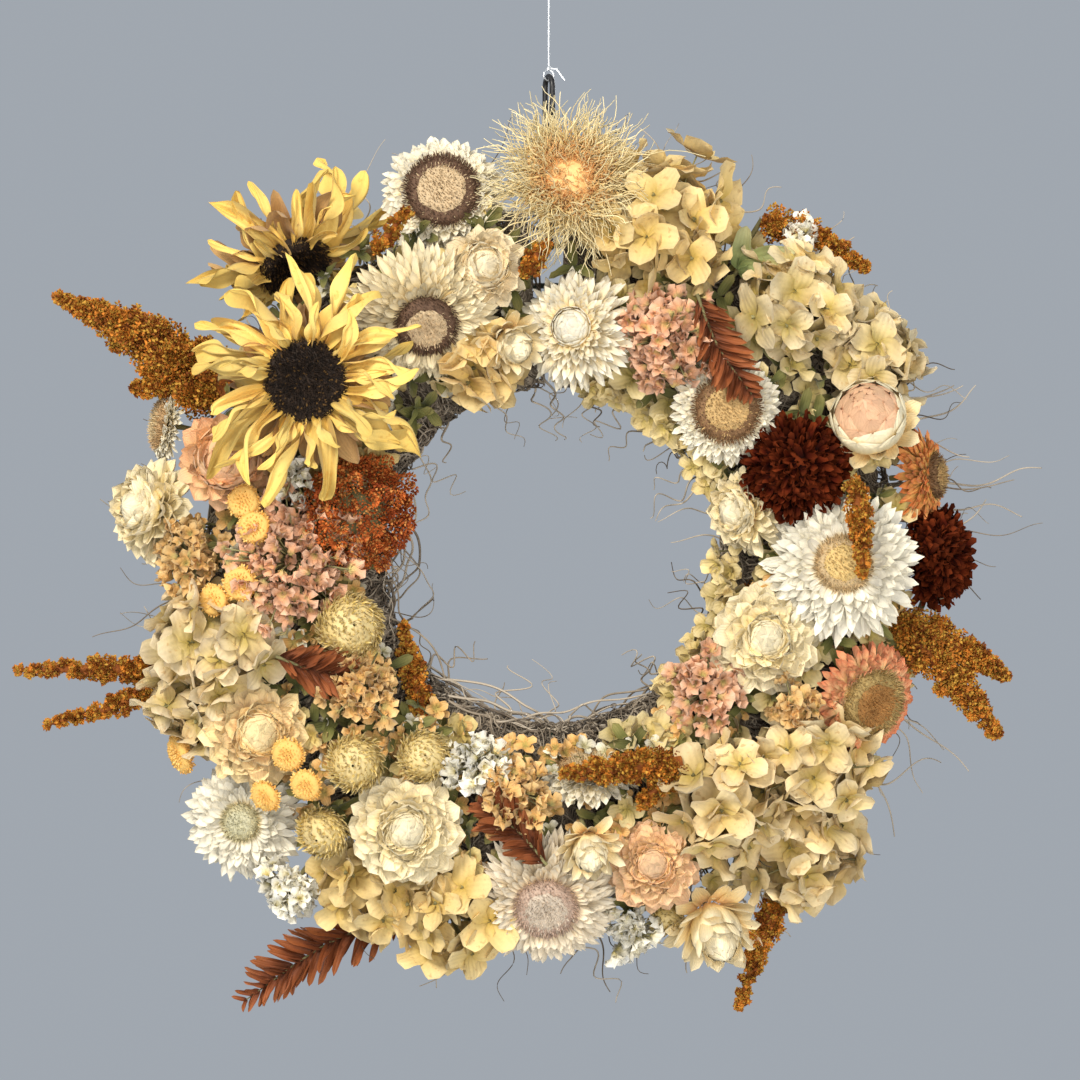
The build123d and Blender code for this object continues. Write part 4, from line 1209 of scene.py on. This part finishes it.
def amaranths():
    rust = grain_material(
        "amaranth_rust", (0.20, 0.050, 0.006), (0.68, 0.25, 0.030), (0.56, 0.34, 0.050), 800, share=0.55
    )
    orange = grain_material(
        "amaranth_orange", (0.24, 0.038, 0.005), (0.68, 0.17, 0.030), (0.74, 0.34, 0.09), 800, share=0.75
    )
    for node, branches in AMARANTHS.items():
        heap = Heap()
        for points, radii in branches:
            tassel(heap, points, radii, FULLNESS.get(node, USUAL_FULLNESS))
            clock, reach, depth = points[0]
            root = place(clock, CORE_RADIUS + (reach - CORE_RADIUS) * 0.5, (depth + MOSS_DEPTH) / 2)
            tubes(heap, smooth_path([place(*points[0]), root], 6), 1.1, 6, slot=1)
        heap.make(node + "_tassel", [rust, STEM], "amaranth_seed", replaced=[node])

    heap = Heap()
    for top, axis, radius, tall in heads("amaranth_orange"):
        spots, ways, _ = dome_spots(top + axis, axis, radius * 1.12, radius * 0.85, 5.8, 0, 0.12, 0.45)
        tips = np.broadcast_to(unit(np.array([0.6, 0.0, -0.8])), spots.shape)
        ways = unit(ways + tips * 0.35)
        seeds(heap, spots - ways * 6, ways, tips, 70, between(8.0, 12.0, len(spots)), 0.33)
        base = top - axis * radius * 0.8
        turned(
            heap, base, axis, radius, (0.1, 0.6, 0.65, 0.4, 0.05), radius, (0, 0.1, 0.2, 0.3, 0.35), 24, 0.04, 1
        )
        stem(heap, base, axis, tall - radius * 0.8)
    heap.make("amaranth_orange_cluster", [orange, STEM], "amaranth_orange_seed", replaced=["amaranth_orange"])


def frond(heap, base, tip, width, pairs=28):
    """A fern frond: a curved midrib with narrow, curled leaflets that lean to its tip."""
    a, b = place(*base), place(*tip)
    along = unit(b - a)
    face = unit(FRONT - along * (FRONT @ along))
    side = np.cross(along, face)
    middle = (a + b) / 2 + side * np.linalg.norm(b - a) * 0.06 + face * 2
    path = smooth_path([a, middle, b], 40)
    tubes(heap, path, np.linspace(0.8, 0.25, 40), slot=1)
    at = np.linspace(2, 39, pairs).astype(int)
    for sign in (1, -1):
        out = unit(side * sign * 0.62 + along * 0.9 + random.normal(0, 0.07, (pairs, 3)))
        long = width * 0.8 * np.sin(np.linspace(0.6, 2.95, pairs)) ** 0.7 * between(0.85, 1.1, pairs)
        leaves(
            heap, path[at], out, face, long, long * 0.15 + 0.9, between(-10, 25, pairs),
            between(-60, 50, pairs), cup=between(0.4, 1.6, pairs), twist=between(-70, 70, pairs), wave=0.4,
            swing=0.12 * sign, crease=0.15, belly=0.35, point=0.7, rows=10, neck=0.5,
        )


def ferns():
    """Rust-coloured fern fronds, and the one green leaf of a hydrangea."""
    rust = petal_material(
        "fern_leaflets", (0.10, 0.024, 0.006), (0.24, 0.062, 0.015), (0.38, 0.120, 0.035), (0.5, 0.8), 12,
        sheen=0.03,
    )
    heap = Heap()
    for base, tip, width in (
        ((200, 152, 12), (214.5, 219, 14), 24),
        ((29, 118, 62), (51, 101, 66), 19),
        ((181, 122, 62), (196, 102, 62), 20),
        ((250, 116, 62), (240, 93, 60), 20),
    ):
        frond(heap, base, tip, width)
    heap.make("fern_fronds_curled", [rust, STEM], "fern_rust", replaced=["fern_fronds"])

    green = petal_material(
        "dry_leaf", (0.20, 0.25, 0.08), (0.36, 0.40, 0.16), (0.52, 0.50, 0.26), (0.5, 0.75), 18
    )
    heap = Heap()
    start, end = place(33, 136, 46), place(38, 152, 40)
    for turn, share in ((0.0, 1.0), (0.9, 0.8), (-0.8, 0.75)):
        way = unit(end - start) + np.array([turn, 0.0, -turn * 0.4])
        leaves(
            heap, start, way, FRONT, 24.0 * share, 11.0 * share, 10, 30, cup=0.6, twist=25, wave=0.3,
            belly=0.4, point=0.75, neck=0.2, rows=14, columns=8,
        )
    tubes(heap, smooth_path([start, place(33, 120, 34)], 6), 0.9, slot=1)
    heap.make("dry_green_leaf", [green, STEM], "dry_green", replaced=["hydrangea_leaf"])


# ---- filling between the heads
# clock angles from and to, reach from and to, colours from base to tip, petal length and width, and the
# number in each degree
OVER_MOSS = (76, 150)
FILLING = {
    "sepals_right": (
        (5, 165), OVER_MOSS, ((0.46, 0.36, 0.085), (0.68, 0.54, 0.23), (0.77, 0.64, 0.35)), 9.5, 7.4, 0.95
    ),
    "sepals_left": (
        (185, 352), OVER_MOSS, ((0.50, 0.36, 0.085), (0.69, 0.53, 0.19), (0.75, 0.60, 0.27)), 8.5, 6.6, 0.5
    ),
    "sepals_inside": (
        (8, 140), (66, 76), ((0.46, 0.35, 0.085), (0.68, 0.53, 0.22), (0.76, 0.62, 0.33)), 7.5, 5.6, 0.5
    ),
    "peach": (
        (95, 300), OVER_MOSS, ((0.44, 0.33, 0.08), (0.74, 0.42, 0.13), (0.82, 0.54, 0.23)), 5.2, 3.8, 1.9
    ),
    "white": (
        (150, 352), OVER_MOSS, ((0.50, 0.44, 0.20), (0.80, 0.74, 0.52), (0.88, 0.84, 0.72)), 4.6, 3.4, 0.9
    ),
    # very dark olive leaves: partly real leaves, partly painted shade in the gaps between the heads
    "olive_leaves": (
        (4, 356), OVER_MOSS, ((0.07, 0.075, 0.015), (0.15, 0.15, 0.035), (0.26, 0.23, 0.07)), 10.0, 3.8, 1.1
    ),
}


def filling():
    """Small florets and leaves tucked low between the heads, so that little of the moss shows in front; the
    very dark olive leaves are partly painted shade in the gaps.
    """
    for name, (clocks, reaches, colours, length, width, share) in FILLING.items():
        piece = "filling_" + name
        material = petal_material(piece, *colours, rough=(0.55, 0.85), ribs=14, spread=0.3)
        count = int((clocks[1] - clocks[0]) * share)
        clock, reach = between(*clocks, count), between(*reaches, count)
        off_core = reach - CORE_RADIUS
        rise = 38 * np.sqrt(1 - np.clip(np.abs(off_core) / 50, 0, 0.95) ** 2)
        spots = place(clock, reach, MOSS_DEPTH + rise - 9 + between(-4, 4, count))
        lean = np.radians(45 * off_core / 46)[:, None]
        ways = unit(outward(clock) * np.sin(lean) + FRONT * np.cos(lean) + random.normal(0, 0.35, (count, 3)))
        heap = Heap()
        florets(
            heap, spots, ways, 3 if "leaves" in name else 4, length, width, 20, -20, cup=0.5, wave=0.3,
            crease=0.2, point=0.6, neck=0.22,
        )
        roots = place(clock, CORE_RADIUS + off_core * 0.7, MOSS_DEPTH + 6)
        stalks(heap, roots, spots, (0.0, 0.35, 0.7, 1.0), 0.45)
        heap.make(piece, [material, STEM], "hydrangea_sepal" if "sepals" in name else "dry_green")


# ---- everything together


def paint(node, material):
    """A CAD node keeps its shape and gets a better material."""
    mesh = frame["nodes"][node].data
    mesh.materials.clear()
    mesh.materials.append(material)


camera_and_light()
clear = clear_material()
hanging_line(clear)
paint("line_knot", clear)
paint("line_eye", clear)
hanging_loop(wire_material("black_coating", (0.010, 0.010, 0.011), (0.045, 0.045, 0.048), (0.28, 0.5)))
form = wire_material("green_lacquer", (0.012, 0.030, 0.018), (0.06, 0.085, 0.055), (0.35, 0.6))
for node in ("frame_rings", "frame_braces"):
    paint(node, form)
binding = wire_material("binding_lacquer", (0.010, 0.022, 0.014), (0.05, 0.06, 0.045), (0.35, 0.6))
paint("binding_wire", binding)
moss()
tendrils()
strawflowers()
buds()
sunflower("sunflower_upper", 1.5, 15, -20, 0.8, nod=42, withered=0.5)
sunflower("sunflower_lower", 1.17, 19, 4, 0.9)
hydrangeas()
statices()
zinnias()
spider_flower()
globes_and_buttons()
amaranths()
ferns()
filling()
